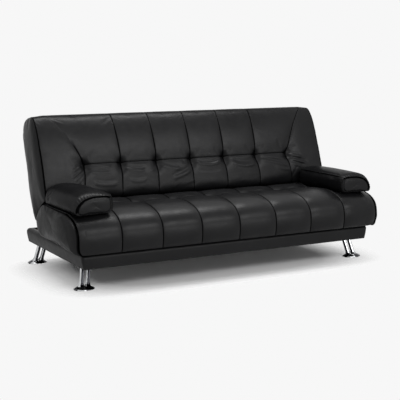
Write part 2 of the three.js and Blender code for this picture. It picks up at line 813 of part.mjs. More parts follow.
function seatCushion() {
  const { innerX, outerX, radius } = hingeDrum();
  const floor = seatUnderZ - overrun;
  const wall = seatFrameHalfLength + touchGap;
  const frameRoom = box(
    -wall, wall, seatFrameFrontY - touchGap, seatFrameRearY + touchGap, floor, seatDeckTopZ + touchGap,
  );
  const bracketX = wall + bracketThickness + touchGap;
  const railRoom = box(
    seatSideInnerX, wall, seatFrameRearY, seatSideRailRearY + touchGap, floor, seatRailTopZ + touchGap,
  );
  const stripRoom = box(
    seatFrameHalfLength, bracketX, bracketFrontProngY - bracketProngWidth / 2 - touchGap,
    bracketRearProngY + bracketProngWidth / 2 + touchGap, floor, bracketStripTopZ + touchGap,
  );
  const prongRooms = bracketProngYs.map((y) => {
    const half = bracketProngWidth / 2 + touchGap;
    return box(seatFrameHalfLength, bracketX, y - half, y + half, floor, seatTopZ + overrun);
  });
  const hingeRoom = box(
    innerX, outerX, seatFrameRearY, seatRearY + overrun, floor, pivotZ + radius,
  );
  const rightRooms = [railRoom, stripRoom, ...prongRooms, hingeRoom];
  const cushion = cut(
    channelledCushion(seatOutline, seatSpec),
    frameRoom, ...rightRooms, ...rightRooms.map(mirrored),
  );
  return piece("seat_cushion", cushion, leather());
}

function seatEndPanels() {
  const panel = endPanel(seatOutline, seatSpec);
  return [
    piece("seat_end_panel_left", mirrored(panel), leather()),
    piece("seat_end_panel_right", panel, leather()),
  ];
}

// Arms

const backFootY = Math.min(
  ...backOutlineShares.map(([depthShare, lengthShare]) =>
    pivotY - depthShare * backFront * Math.cos(backLean) + lengthShare * backLength * Math.sin(backLean),
  ),
);
const armRearY = backFootY - armBackGap - armPuff;
const bracketFrontProngY = armFrontY + bracketFrontInset;
const bracketRearProngY = armRearY - bracketRearInset;
const bracketStripZ = seatUnderZ + bracketRise;
const bracketStripTopZ = bracketStripZ + bracketStripHeight;
const bracketProngYs = [bracketFrontProngY, bracketRearProngY];
const bracketInnerX = seatFrameHalfLength + touchGap;
const bracketOuterX = bracketInnerX + bracketThickness;
const armBoardZ = armUnderZ + armBoardFloor;
const armBoardTopZ = armBoardZ + armBoardThickness;
const armBoardOuterX = bracketInnerX - touchGap;

// The arm's section at a place along it, grown square to its outline and drawn in towards its middle.
function armRing(y, grow, drawnInShare = 0) {
  const controls = armOutlineShares.map(([widthShare, heightShare]) => [
    THREE.MathUtils.lerp(armInnerX, armOuterX, widthShare),
    THREE.MathUtils.lerp(armUnderZ, armTopZ, heightShare),
  ]);
  const { samples } = sampledOutline(controls, true, 2);
  const ring = samples.map((sample) => {
    const out = grow * smoothstep((sample.z - armUnderZ) / armPuff);
    const z = Math.max(armUnderZ, sample.z + sample.nz * out);
    return new THREE.Vector3(sample.y + sample.ny * out, y, z);
  });
  const middle = middleOf(ring);
  return ring.map((point) => point.lerp(middle, drawnInShare));
}

function armPad() {
  const length = armRearY - armFrontY;
  const rings = armEndShares.map(([puffShare, drawnInShare]) =>
    armRing(armFrontY - armPuff * puffShare, 0, drawnInShare),
  );
  for (const share of armRingShares) {
    rings.push(armRing(armFrontY + length * share, armCrown * Math.sin(Math.PI * share)));
  }
  for (const [puffShare, drawnInShare] of [...armEndShares].reverse()) {
    rings.push(armRing(armRearY + armPuff * puffShare, 0, drawnInShare));
  }
  const body = loft(rings);
  const boardRoom = box(
    armInnerX + armBoardInset - touchGap, armBoardOuterX + touchGap,
    armFrontY + armBoardInset - touchGap, armRearY - armBoardInset + touchGap,
    armBoardZ - touchGap, armBoardTopZ + touchGap,
  );
  const prongRooms = bracketProngYs.map((y) => {
    const half = bracketProngWidth / 2 + touchGap;
    return box(
      armBoardOuterX - touchGap, bracketOuterX + touchGap, y - half, y + half,
      armUnderZ - overrun, armBoardTopZ + touchGap,
    );
  });
  return cut(body, boardRoom, ...prongRooms);
}

// A steel strip along the outside of the seat's end rail, with two prongs up to the arm's board.
function armBracket() {
  const half = bracketProngWidth / 2;
  const points = [
    [bracketFrontProngY - half, bracketStripZ],
    [bracketRearProngY + half, bracketStripZ],
    [bracketRearProngY + half, armBoardTopZ],
    [bracketRearProngY - half, armBoardTopZ],
    [bracketRearProngY - half, bracketStripTopZ],
    [bracketFrontProngY + half, bracketStripTopZ],
    [bracketFrontProngY + half, armBoardTopZ],
    [bracketFrontProngY - half, armBoardTopZ],
  ];
  return extrudeAlongX(polygon(points), bracketInnerX, bracketOuterX);
}

function arms() {
  const board = box(
    armInnerX + armBoardInset, armBoardOuterX, armFrontY + armBoardInset, armRearY - armBoardInset,
    armBoardZ, armBoardTopZ,
  );
  const pad = armPad();
  const bracket = armBracket();
  return [
    piece("arm_pad_left", mirrored(pad), leather()),
    piece("arm_pad_right", pad, leather()),
    piece("arm_board_left", mirrored(board), plywood()),
    piece("arm_board_right", board, plywood()),
    piece("arm_bracket_left", mirrored(bracket), zincSteel()),
    piece("arm_bracket_right", bracket, zincSteel()),
  ];
}

// Back, in its own leaning frame: Z up the lean, -Y square to its front, from the hinge line

const backSpec = {
  halfLength: backHalfLength,
  crown: backCrown,
  endDrop: backEndDrop,
  grooveDepth: backGrooveDepth,
  grooveSpread: backGrooveSpread,
  tuftDepth: backTuftDepth,
  tuftSpread: backTuftSpread,
  endPuff: backEndPuff,
  ceilingAt: () => Infinity,
};

const backOutline = sampledOutline(
  backOutlineShares.map(([depthShare, lengthShare, mark]) => [
    -depthShare * (depthShare > 0 ? backFront : backRear),
    lengthShare * backLength,
    mark,
  ]),
  true,
  2,
);
for (const sample of backOutline.samples) {
  // The rear and the foot hold their line; the front and the top swell.
  const frontShare = smoothstep(-sample.y / backFront / backSwellShares.front);
  const rise = backSwellShares.top - backSwellShares.foot;
  const topShare = smoothstep((sample.z / backLength - backSwellShares.foot) / rise);
  sample.free = frontShare * topShare;
}

const backSideInnerX = seatPlateX; // the back's side rails stand outside the hinge's back plate
const backDeckRear = -touchGap;
const backFrameFront = backFrameRear - frameRailThickness;

function backFrame() {
  const side = box(
    backSideInnerX - platesThickness, backFrameHalfLength, backFrameFront, backFrameRear,
    backFrameBottom, backFrameTop,
  );
  const bottomHalf = hingeInnerX - touchGap;
  const topHalf = backSideInnerX - platesThickness - touchGap;
  const cross = (half, z0) => box(-half, half, backFrameFront, backFrameRear, z0, z0 + backRailWidth);
  const deck = box(
    -backFrameHalfLength, backFrameHalfLength, backFrameFront + backDeckRear - backDeckThickness,
    backFrameFront + backDeckRear, backFrameBottom, backFrameTop,
  );
  return [
    piece("back_bottom_rail", cross(bottomHalf, backFrameBottom), pine()),
    piece("back_top_rail", cross(topHalf, backFrameTop - backRailWidth), pine()),
    piece("back_left_rail", mirrored(side), pine()),
    piece("back_right_rail", side, pine()),
    piece("back_deck", deck, plywood()),
  ];
}

function backCushion() {
  const { innerX, outerX, radius } = hingeDrum();
  const wall = backFrameHalfLength + touchGap;
  const frameRoom = box(
    -wall, wall, backFrameFront + backDeckRear - backDeckThickness - touchGap, backRear + overrun,
    backFrameBottom - touchGap, backFrameTop + touchGap,
  );
  const hingeRoom = box(innerX, outerX, -radius, backRear + overrun, -radius, backFrameBottom);
  const cushion = cut(
    channelledCushion(backOutline, backSpec), frameRoom, hingeRoom, mirrored(hingeRoom),
  );
  return piece("back_cushion", cushion, leather());
}

function backEndPanels() {
  const panel = endPanel(backOutline, backSpec);
  return [
    piece("back_end_panel_left", mirrored(panel), leather()),
    piece("back_end_panel_right", panel, leather()),
  ];
}

// The padded panel that closes the frame from behind, its outside in line with the back's rear.
function backRearPanel() {
  const inner = backFrameRear + touchGap;
  const slab = box(
    -backFrameHalfLength, backFrameHalfLength, inner, backRear + overrun, backFrameBottom, backFrameTop,
  );
  const section = new THREE.Shape(backOutline.samples.map((s) => new THREE.Vector2(s.y, s.z)));
  const line = extrudeAlongX(section, -backHalfLength, backHalfLength);
  return piece("back_rear_panel", common(slab, line), leather());
}

// Ratchet hinges

function circleHole(y, z, radius) {
  const hole = new THREE.Path();
  hole.absarc(y, z, radius, 0, Math.PI * 2, true);
  return hole;
}

// The seat's plate: bolted inside the seat's side rail, with the boss of the hinge line, the stud that
// the pawl turns on and the tab that holds the pawl's spring.
function seatPlate() {
  const x0 = seatPlateX - platesThickness;
  const shape = new THREE.Shape();
  shape.moveTo(seatPlateFrontY, seatPlateLowerZ);
  shape.lineTo(pivotY, seatPlateLowerZ);
  shape.absarc(pivotY, pivotZ, hingeBossRadius, -Math.PI / 3, Math.PI * 0.6, false);
  shape.lineTo(seatSideRailRearY, seatPlateUpperZ);
  shape.lineTo(seatPlateFrontY, seatPlateUpperZ);
  shape.closePath();
  shape.holes.push(circleHole(pivotY, pivotZ, hingePinRadius + pinRunningGap));
  const plate = extrudeAlongX(shape, x0, seatPlateX, 8);
  const stud = rod(
    new THREE.Vector3(hingeInnerX, pawlPivotY, pawlPivotZ),
    new THREE.Vector3(seatPlateX - touchGap, pawlPivotY, pawlPivotZ),
    pawlStudRadius,
  );
  const tab = box(
    hingeInnerX, seatPlateX - touchGap, springTabY, springTabY + springTabLength,
    springTabZ, springTabZ + springTabHeight,
  );
  return join(plate, stud, tab);
}

// The back's plate: an arm up the back's side rail and a toothed sector round the hinge line.
function backPlate() {
  const pitch = sectorTravel / (sectorToothCount - 1);
  const at = (radius, angle) => [radius * Math.cos(angle), radius * Math.sin(angle)];
  const start = Math.PI * 0.75;
  const shape = new THREE.Shape();
  shape.moveTo(backFrameRear, backPlateLength);
  shape.lineTo(backFrameFront, backPlateLength);
  shape.lineTo(backFrameFront, sectorTipRadius * 1.3);
  shape.absarc(0, 0, sectorRootRadius, start, sectorFirstTooth, false);
  for (let i = 0; i < sectorToothCount; i++) {
    const angle = sectorFirstTooth + i * pitch;
    shape.lineTo(...at(sectorRootRadius, angle));
    shape.lineTo(...at(sectorTipRadius, angle + pitch * sectorSteepFlankShare));
    shape.lineTo(...at(sectorTipRadius, angle + 2 * pitch * sectorSteepFlankShare));
  }
  shape.lineTo(...at(sectorRootRadius, sectorFirstTooth + sectorToothCount * pitch));
  shape.lineTo(backFrameRear, sectorTipRadius * 1.3);
  shape.closePath();
  shape.holes.push(circleHole(0, 0, hingePinRadius + pinRunningGap));
  return extrudeAlongX(shape, hingeInnerX, backPlateX, 8);
}

// Shoulder bolt through both plates, turned along X.
function hingePin() {
  const headX = hingeInnerX - touchGap;
  const nutX = seatPlateX + touchGap;
  const profile = [
    [0, headX - hingePinHeadThickness],
    [hingePinHeadRadius, headX - hingePinHeadThickness],
    [hingePinHeadRadius, headX],
    [hingePinRadius, headX],
    [hingePinRadius, nutX],
    [hingePinHeadRadius, nutX],
    [hingePinHeadRadius, nutX + hingePinHeadThickness],
    [0, nutX + hingePinHeadThickness],
  ].map(([radius, x]) => new THREE.Vector2(radius, x));
  const turned = new THREE.LatheGeometry(profile, tubeSides);
  return turned.rotateZ(-Math.PI / 2).translate(0, pivotY, pivotZ);
}

const pawlNoseY = pawlPivotY + pawlNoseLength;
const pawlNoseZ = pivotZ - sectorTipRadius - pawlTipGap;
const pawlTailY = pawlPivotY - pawlTailLength;
const springTabY = pawlPivotY - pawlBossRadius - springTabLength * 2;
const springTabZ = pawlPivotZ + springRise;

// The pawl below the teeth: a hooked nose behind its stud and a tail in front of it.
function pawl() {
  const under = pawlPivotZ - pawlBossRadius;
  const shape = polygon([
    [pawlTailY, pawlPivotZ - pawlTailDepth / 2],
    [pawlPivotY - pawlBossRadius / 2, under],
    [pawlNoseY, under],
    [pawlNoseY + pawlNoseWidth / 2, pawlNoseZ - pawlNoseDepth / 2],
    [pawlNoseY, pawlNoseZ],
    [pawlNoseY - pawlNoseWidth, pawlNoseZ - pawlNoseDepth / 2],
    [pawlPivotY + pawlBossRadius, pawlPivotZ],
    [pawlPivotY + pawlBossRadius / 2, pawlPivotZ + pawlBossRadius * 0.85],
    [pawlPivotY - pawlBossRadius / 2, pawlPivotZ + pawlBossRadius * 0.85],
    [pawlTailY, pawlPivotZ + pawlTailDepth / 2],
  ]);
  shape.holes.push(circleHole(pawlPivotY, pawlPivotZ, pawlStudRadius + pinRunningGap));
  return extrudeAlongX(shape, hingeInnerX, backPlateX, 6);
}

// A leaf spring from the plate's tab, bowed down onto the pawl's tail.
function pawlSpring() {
  const top = springTabZ - touchGap;
  const bottom = pawlPivotZ + pawlTailDepth / 2 + touchGap * 2;
  const tabEnd = springTabY + springTabLength;
  const foot = pawlTailY + springThickness;
  const shape = new THREE.Shape();
  shape.moveTo(tabEnd, top);
  shape.lineTo(springTabY, top);
  shape.quadraticCurveTo(foot, top, foot, bottom + springThickness * 2);
  shape.lineTo(foot, bottom);
  shape.lineTo(foot + springThickness, bottom);
  shape.lineTo(foot + springThickness, bottom + springThickness * 2);
  shape.quadraticCurveTo(foot + springThickness, top - springThickness, springTabY, top - springThickness);
  shape.lineTo(tabEnd, top - springThickness);
  shape.closePath();
  return extrudeAlongX(shape, hingeInnerX + touchGap, backPlateX - touchGap, 5);
}

function fixedHingePieces() {
  const pieces = {
    hinge_seat_plate: seatPlate(),
    hinge_pin: hingePin(),
    hinge_pawl: pawl(),
    pawl_spring: pawlSpring(),
  };
  return Object.entries(pieces).flatMap(([name, geometry]) => [
    piece(`${name}_left`, mirrored(geometry), zincSteel()),
    piece(`${name}_right`, geometry, zincSteel()),
  ]);
}

// Assembly

function baseGroup() {
  const group = new THREE.Group();
  group.add(...baseCovers(), ...baseRails(), ...crossRails(), dustCover());
  for (const leg of legCorners) group.add(cornerBoard(leg), legWeldment(leg), foot(leg), glide(leg));
  return group;
}

function seatGroup() {
  const group = new THREE.Group();
  group.add(...seatFrame(), seatCushion(), ...seatEndPanels(), ...arms(), ...fixedHingePieces());
  return group;
}

function backGroup() {
  const group = new THREE.Group();
  const plate = backPlate();
  group.add(...backFrame(), backCushion(), ...backEndPanels(), backRearPanel());
  group.add(piece("hinge_back_plate_left", mirrored(plate), zincSteel()));
  group.add(piece("hinge_back_plate_right", plate, zincSteel()));
  group.position.set(0, pivotY, pivotZ);
  group.rotation.x = -backLean;
  return group;
}

const sofaBed = new THREE.Group();
sofaBed.add(baseGroup(), seatGroup(), backGroup());

export default sofaBed;
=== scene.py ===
"""Looks of a click-clack sofa bed in black faux leather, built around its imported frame.

Metres, +X to the right along the seat, -Y to the front, +Z up, the origin on the floor under its middle.
"""

import json
import math

import bmesh
import bpy
import numpy as np
from mathutils import Matrix, Vector


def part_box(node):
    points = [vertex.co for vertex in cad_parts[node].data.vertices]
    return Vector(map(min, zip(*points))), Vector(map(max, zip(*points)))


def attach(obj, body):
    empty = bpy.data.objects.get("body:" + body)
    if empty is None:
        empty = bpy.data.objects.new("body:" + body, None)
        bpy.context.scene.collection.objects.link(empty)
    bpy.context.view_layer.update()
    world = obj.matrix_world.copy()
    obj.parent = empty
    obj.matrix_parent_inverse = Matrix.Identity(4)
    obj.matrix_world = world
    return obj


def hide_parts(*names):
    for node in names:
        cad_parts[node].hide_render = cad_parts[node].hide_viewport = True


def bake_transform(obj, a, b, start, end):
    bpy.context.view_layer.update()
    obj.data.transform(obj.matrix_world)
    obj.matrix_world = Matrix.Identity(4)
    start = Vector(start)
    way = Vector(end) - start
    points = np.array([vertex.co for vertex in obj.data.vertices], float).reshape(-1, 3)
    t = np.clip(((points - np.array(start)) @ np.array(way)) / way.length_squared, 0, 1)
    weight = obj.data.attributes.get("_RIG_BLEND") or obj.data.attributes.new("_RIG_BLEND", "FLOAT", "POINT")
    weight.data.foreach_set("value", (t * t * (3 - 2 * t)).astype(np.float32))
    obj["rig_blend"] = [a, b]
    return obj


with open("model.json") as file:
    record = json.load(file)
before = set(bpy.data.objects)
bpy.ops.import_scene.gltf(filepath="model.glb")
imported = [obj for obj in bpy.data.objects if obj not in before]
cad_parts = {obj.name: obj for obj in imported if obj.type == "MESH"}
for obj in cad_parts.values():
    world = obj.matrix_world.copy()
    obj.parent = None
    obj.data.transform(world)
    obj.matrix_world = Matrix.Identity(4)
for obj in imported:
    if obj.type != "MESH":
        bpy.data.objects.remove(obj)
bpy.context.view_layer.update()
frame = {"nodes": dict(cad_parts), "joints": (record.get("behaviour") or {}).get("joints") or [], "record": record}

# Places read from the frame
seat_low, seat_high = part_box("seat_cushion")
deck_low, deck_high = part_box("seat_deck")
base_low, base_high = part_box("base_front_cover")
base_rear_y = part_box("base_rear_cover")[1].y
hinge = next(joint for joint in frame["joints"] if joint["name"] == "back_recline")
hinge_y, hinge_z = hinge["pos_m"][1:]
touch_gap = 0.0003
clear = 0.001

# Seat cushion, in the valleys of its seams
channel_count = 8
seat_half_length = 0.877
seat_front_y = -0.429
seat_rear_y = 0.172
seat_top_z = 0.388
seat_frame_half_length = 0.84
seat_crown = 0.0085
seat_end_drop = 0.01
seat_groove = (0.02, 0.05)
seat_tuft = (0.008, 0.018)
seat_end_tuck = (0.022, 0.05)
seat_end_tuck_length = 0.07
seat_free_y = (-0.03, 0.1)
seat_held_y = 0.05

# Back cushion, in its own leaning frame from the hinge line: -Y square to its front, Z up the lean
back_lean = math.radians(21)
back_half_length = 0.862
back_length = 0.562
back_front = 0.187
back_rear = 0.058
back_frame_half_length = 0.836
back_frame_low = 0.055
back_frame_top = 0.505
back_frame_rear = 0.025
back_deck_front = -0.0066
back_held_y = -0.12
rear_panel_edge = (0.02, 0.002)
back_crown = 0.0035
back_end_drop = 0.006
back_groove = (0.007, 0.03)
back_tuft = (0.011, 0.016)
back_seam_fan = 0.145
back_tuft_lowering = 0.011
back_tuft_narrowing = 0.024

# Room for the ratchet hinges in both cushions
slot_walls = (0.799, 0.822)
slot_front_y = 0.096
slot_top = 0.056

# Arms
arm_inner_x = 0.681
arm_outer_x = 0.876
arm_front_y = -0.372
arm_rear_y = 0.036
arm_under_z = 0.377
arm_top_z = 0.48
arm_puff = 0.006
arm_crown = 0.004
arm_front_rounding = 0.04
arm_crease = 0.014
arm_press_width = 0.022
arm_press_gap = 0.0018

# Padded base covers
base_half_length = base_high.x
base_end_taper = 0.012
base_corner_radius = 0.014
base_top_rounding = 0.02
base_bulge = 0.003
cover_thickness = 0.0083
rail_inner_x = 0.817
rail_inner_inset = 0.03

# Legs
splay_x = 0.19
splay_y = 0.28
tube_radius = 0.011
tube_spacing = 0.033
foot_half_length = 0.054
foot_half_width = 0.044
foot_under_z = 0.0025
foot_height = 0.015
socket_top_z = 0.0285
socket_flare = [(0.0085, 0), (0.0062, 0.3), (0.0035, 0.52), (0.002, 0.78), (0.0018, 0.95), (0.001, 1)]
foot_dome = [
    (0, 0), (0.95, 0), (1, 0.1), (0.985, 0.25), (0.93, 0.38), (0.8, 0.62), (0.68, 0.87), (0.5, 1),
    (0, 1),
]
leg_plate_under_z = 0.1177
leg_plate_top_z = 0.1227
leg_plate_size = (0.084, 0.11)

# Upholstery
seam_half_width = 0.0024
seam_depth = 0.0038
welt_radius = 0.0028
welt_sides = 10
seat_grid_step = 0.0082
back_grid_step = 0.0066
arm_grid_step = 0.0036
arm_points = 150
pucker_height = 0.0042
pucker_length = 0.014
pucker_reach = 0.018

# Simulations: the cloth, and for each kind of cover its pressure, its extra length, the farthest that
# a point moves, and the steps
cover_cloth = {
    "quality": 5, "mass": 0.15, "air_damping": 4, "tension_stiffness": 25, "compression_stiffness": 25,
    "shear_stiffness": 12, "bending_stiffness": 0.8, "tension_damping": 8, "compression_damping": 8,
    "shear_damping": 8, "vertex_group_mass": "held", "vertex_group_shrink": "slack", "use_pressure": True,
}
seat_blown = (2.2, (0.002, 0.014), 0.014, 16)
back_blown = (2.0, (0.001, 0.02), 0.016, 16)
end_blown = (1.5, (0.0, 0.005), 0.008, 12)
arm_blown = (2.0, (0.003, 0.015), 0.006, 14)

# End panels: how far they puff, the share of it that they lose toward the rear, the width of their
# rounded edge, and the seed of their puckers
seat_end = (0.044, 0.6, 0.045, 5)
back_end = (0.022, 0, 0.07, 8)

# Outlines, in shares of the sizes that they follow, as in the frame
seat_outline_shares = [
    (0.013, 0), (0, 0.3), (0.018, 0.6), (0.085, 0.82), (0.21, 0.955), (0.36, 1), (0.55, 1),
    (0.7, 0.99), (0.8, 0.95), (0.88, 0.84), (0.955, 0.65), (1, 0.45), (0.985, 0.27), (0.945, 0.09),
    (0.93, 0),
]
seat_tuft_control = 6
back_outline_shares = [
    (-0.72, 0.098), (-0.55, 0.045), (0.21, 0.115), (0.55, 0.152), (0.82, 0.17), (0.9, 0.23),
    (0.945, 0.31), (0.975, 0.4), (0.99, 0.49), (0.99, 0.6), (0.98, 0.74), (0.925, 0.875),
    (0.8, 0.965), (0.48, 1), (0.05, 0.985), (-0.52, 0.905),
]
back_tuft_control = 8
back_rear_shares = [
    (-0.52, 0.905), (-0.72, 0.76), (-0.87, 0.58), (-1, 0.33), (-0.86, 0.17), (-0.72, 0.098),
]
arm_outline_shares = [
    (0, 0.16), (0, 0.75), (0.03, 0.86), (0.16, 0.93), (0.4, 1), (0.65, 0.98), (0.85, 0.84),
    (0.96, 0.61), (1, 0.35), (0.99, 0.1), (0.94, 0), (0.65, 0), (0.35, 0), (0.06, 0.03),
]
arm_front_shares = [
    (0, 0.2), (0, 0.65), (0.03, 0.79), (0.14, 0.85), (0.34, 0.865), (0.55, 0.84), (0.77, 0.72),
    (0.92, 0.5), (0.985, 0.27), (0.985, 0.1), (0.94, 0.01), (0.65, 0.02), (0.35, 0.04), (0.07, 0.08),
]
arm_edge_share = (0.03, 0.86)

# Folds in the back's cover under its tufts. Each runs over three points, given in tufts from the left
# one and in mm below the line of tufts, and has a height and a width.
fold_depth = 0.0012
fold_width = 0.9
back_folds = [
    (-0.36, 78, -0.2, 50, -0.04, 26, 3, 4.5), (-0.34, 62, -0.2, 38, -0.04, 16, -2.5, 4.5),
    (-0.3, 94, -0.15, 68, -0.03, 42, 3, 4.5), (-0.3, 80, -0.15, 56, -0.02, 32, -2.5, 4.5),
    (-0.35, 34, -0.2, 26, -0.04, 14, 2.5, 4.5), (-0.2, 104, -0.1, 86, 0, 58, 2.5, 4.5),
    (-0.25, 12, -0.1, 8, 0, 6, -3, 5), (0.03, 10, 0.3, 18, 0.7, 14, -2, 4.5),
    (0.05, 20, 0.35, 28, 0.75, 26, 2.5, 4.5), (0.05, 30, 0.35, 38, 0.7, 40, -2, 4.5),
    (0.08, 40, 0.3, 50, 0.7, 54, 2.5, 5), (0.15, 98, 0.5, 118, 0.95, 112, 4, 7),
    (0.2, 80, 0.5, 98, 0.9, 92, -3, 7), (1.05, 30, 1.3, 52, 1.65, 52, 3.2, 5),
    (1.05, 16, 1.3, 34, 1.7, 32, -2.5, 6), (1.15, 96, 1.4, 112, 1.7, 100, 3, 6),
    (1.15, 78, 1.4, 92, 1.7, 84, -2.5, 7), (1.75, 60, 1.9, 48, 2, 30, 2, 5),
    (2.05, 28, 2.3, 48, 2.7, 58, 3, 7), (2.35, 112, 2.65, 96, 3, 62, 4, 8),
    (2.35, 88, 2.65, 74, 2.98, 40, -3, 8), (2.6, 150, 2.85, 138, 3.1, 120, 3, 8),
    (2.5, 168, 2.8, 152, 3.05, 150, -4, 12), (2.7, 12, 2.85, 22, 2.98, 14, -2.5, 6),
    (3.05, 18, 3.5, 47, 3.95, 22, 4.2, 6), (3.1, 8, 3.5, 27, 3.9, 10, -3.2, 7),
    (3.1, 66, 3.5, 80, 3.9, 70, -1.5, 8), (4.15, 34, 4.65, 66, 5.02, 45, 3.8, 7),
    (4.2, 14, 4.6, 38, 5, 20, -3, 8), (4.1, 10, 4.5, 12, 4.9, 6, 1.5, 4.5),
    (4.3, 150, 4.65, 136, 4.95, 148, -3, 14), (5.07, 31, 5.59, 62, 6.06, 88, 3.5, 5),
    (5.1, 22, 5.6, 45, 6, 68, -3, 5), (5.1, 12, 5.5, 26, 5.95, 40, 2.5, 5),
    (5.75, 12, 5.9, 22, 6.1, 20, -3, 8), (5.5, 80, 5.8, 102, 6.05, 100, 2.5, 5),
    (6.03, 10, 6.2, 24, 6.45, 34, 4, 5), (6.05, 26, 6.3, 44, 6.62, 62, -4, 5),
    (6.08, 40, 6.3, 58, 6.55, 72, 3.5, 5), (6.05, 54, 6.25, 68, 6.5, 86, -3, 5),
    (6.05, 68, 6.2, 80, 6.4, 92, 3, 5), (6.02, -4, 6.2, 8, 6.42, 16, -3, 4.5),
]


# Paths

def run_along(points, power=1):
    """Distances along points, from steps that are raised to a power."""
    steps = np.linalg.norm(np.diff(points, axis=0), axis=-1) ** power
    return np.concatenate([0 * steps[:1], np.cumsum(steps, axis=0)])


def resampled(columns, along, even):
    return np.column_stack([np.interp(even, along, column) for column in columns.T])


def smooth_path(controls, spacing, closed=False):
    """An even path through the controls: its points, outward normals and distances along it, and each
    control's distance."""
    points = np.array(controls, float)
    if closed:
        points = np.vstack([points[-1:], points, points[:2]])
    else:
        points = np.vstack([2 * points[0] - points[1], points, 2 * points[-1] - points[-2]])
    knots = run_along(points, 0.5)
    samples = 40
    spans = []
    for i in range(1, len(points) - 2):
        t0, t1, t2, t3 = knots[i - 1 : i + 3]
        p0, p1, p2, p3 = points[i - 1 : i + 3]
        t = np.linspace(t1, t2, samples, endpoint=False)[:, None]
        a1 = (t1 - t) / (t1 - t0) * p0 + (t - t0) / (t1 - t0) * p1
        a2 = (t2 - t) / (t2 - t1) * p1 + (t - t1) / (t2 - t1) * p2
        a3 = (t3 - t) / (t3 - t2) * p2 + (t - t2) / (t3 - t2) * p3
        b1 = (t2 - t) / (t2 - t0) * a1 + (t - t0) / (t2 - t0) * a2
        b2 = (t3 - t) / (t3 - t1) * a2 + (t - t1) / (t3 - t1) * a3
        spans.append((t2 - t) / (t2 - t1) * b1 + (t - t1) / (t2 - t1) * b2)
    dense = np.vstack(spans + [points[-2][None]])
    along = run_along(dense)
    even = np.linspace(0, along[-1], max(8, round(along[-1] / spacing)) + 1)
    path = resampled(dense, along, even)
    run = np.gradient(path, axis=0)
    if closed:
        run[0] = run[-1] = path[1] - path[-2]
    normals = np.column_stack([-run[:, 1], run[:, 0]]) / np.linalg.norm(run, axis=1)[:, None]
    return path, normals, even, along[::samples]


def smoothstep(value, low=0.0, high=1.0):
    t = np.clip((np.asarray(value, float) - low) / (high - low), 0, 1)
    return t * t * (3 - 2 * t)


def bell(distance, spread):
    return np.exp(-0.5 * (distance / spread) ** 2)


def swelling(seed, *places, amplitude, scale):
    """Soft irregular swelling over a surface, the same in every run."""
    draw = np.random.default_rng(seed)
    total = 0
    for octave in range(4):
        finer = 1.7**octave
        for _ in range(4):
            waves = sum(draw.normal(0, scale * finer) * place for place in places)
            total = total + np.sin(waves + draw.uniform(0, 2 * np.pi)) / finer
    return amplitude * total / 6


# Meshes

def from_bmesh(name, bm):
    mesh = bpy.data.meshes.new(name)
    bm.to_mesh(mesh)
    bm.free()
    mesh.polygons.foreach_set("use_smooth", [True] * len(mesh.polygons))
    obj = bpy.data.objects.new(name, mesh)
    bpy.context.scene.collection.objects.link(obj)
    return obj


def skin(name, places, facts=None):
    """A closed skin over columns of rows of points. Rows or columns whose ends meet are merged, and open
    ends are capped. facts are arrays of the same layout, kept as attributes of the points."""
    columns, rows = places.shape[:2]
    bm = bmesh.new()
    bmesh.ops.create_grid(bm, x_segments=columns - 1, y_segments=rows - 1, size=0.5)
    kept = {key: bm.verts.layers.float.new(key) for key in (facts or {})}
    for vert in bm.verts:
        i = round((vert.co.x + 0.5) * (columns - 1))
        j = round((vert.co.y + 0.5) * (rows - 1))
        vert.co = places[i, j]
        for key, layer in kept.items():
            vert[layer] = facts[key][i, j]
    bmesh.ops.remove_doubles(bm, verts=bm.verts, dist=1e-5)
    caps = bmesh.ops.holes_fill(bm, edges=[e for e in bm.edges if e.is_boundary], sides=0)["faces"]
    bmesh.ops.triangulate(bm, faces=caps)
    bmesh.ops.recalc_face_normals(bm, faces=bm.faces)
    return from_bmesh(name, bm)


def welt(name, points, across):
    """A piped cord along points, its section turned by the direction that lies across it all the way."""
    side = np.cross(np.gradient(points, axis=0), across)
    side /= np.linalg.norm(side, axis=1)[:, None]
    turn = np.linspace(0, 2 * np.pi, welt_sides + 1)[None, :, None]
    ring = np.cos(turn) * side[:, None] + np.sin(turn) * np.array(across, float)
    return skin(name, points[:, None] + welt_radius * ring)


def turned(bm, profile, steps):
    """Spins a profile of (radius, height) points about Z into bm, and returns its new vertices. The attribute
    streak, for painted reflection bands on chrome, goes up and down three times round them."""
    earlier = set(bm.verts)
    rim = [bm.verts.new((radius, 0, height)) for radius, height in profile]
    edges = [bm.edges.new(pair) for pair in zip(rim, rim[1:])]
    bmesh.ops.spin(bm, geom=rim + edges, cent=(0, 0, 0), axis=(0, 0, 1), angle=2 * math.pi, steps=steps,
                   use_merge=True)
    bmesh.ops.remove_doubles(bm, verts=[vert for vert in bm.verts if vert not in earlier], dist=1e-6)
    made = [vert for vert in bm.verts if vert not in earlier]
    painted_reflection_streak = bm.verts.layers.float["painted_reflection_streak"]
    for vert in made:
        vert[painted_reflection_streak] = math.cos(3 * math.atan2(vert.co.y, vert.co.x))
    return made


def mirrored(obj, name):
    bm = bmesh.new()
    bm.from_mesh(obj.data)
    bmesh.ops.scale(bm, vec=(-1, 1, 1), verts=bm.verts)
    bmesh.ops.recalc_face_normals(bm, faces=bm.faces)
    twin = from_bmesh(name, bm)
    return smoothed(twin) if obj.modifiers else twin


def smoothed(obj):
    modifier = obj.modifiers.new("Subdivision", "SUBSURF")
    modifier.levels = modifier.render_levels = 1
    return obj


def finished(obj, body, material, replaces=()):
    obj.data.materials.clear()
    obj.data.materials.append(material)
    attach(obj, body)
    if replaces:
        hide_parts(*replaces)
    return obj


# Simulated padding

def vectors(mesh, name):
    values = np.empty(len(mesh.vertices) * 3)
    mesh.vertices.foreach_get(name, values)
    return values.reshape(-1, 3)


def move_to(mesh, places):
    mesh.vertices.foreach_set("co", places.ravel())
    mesh.update()


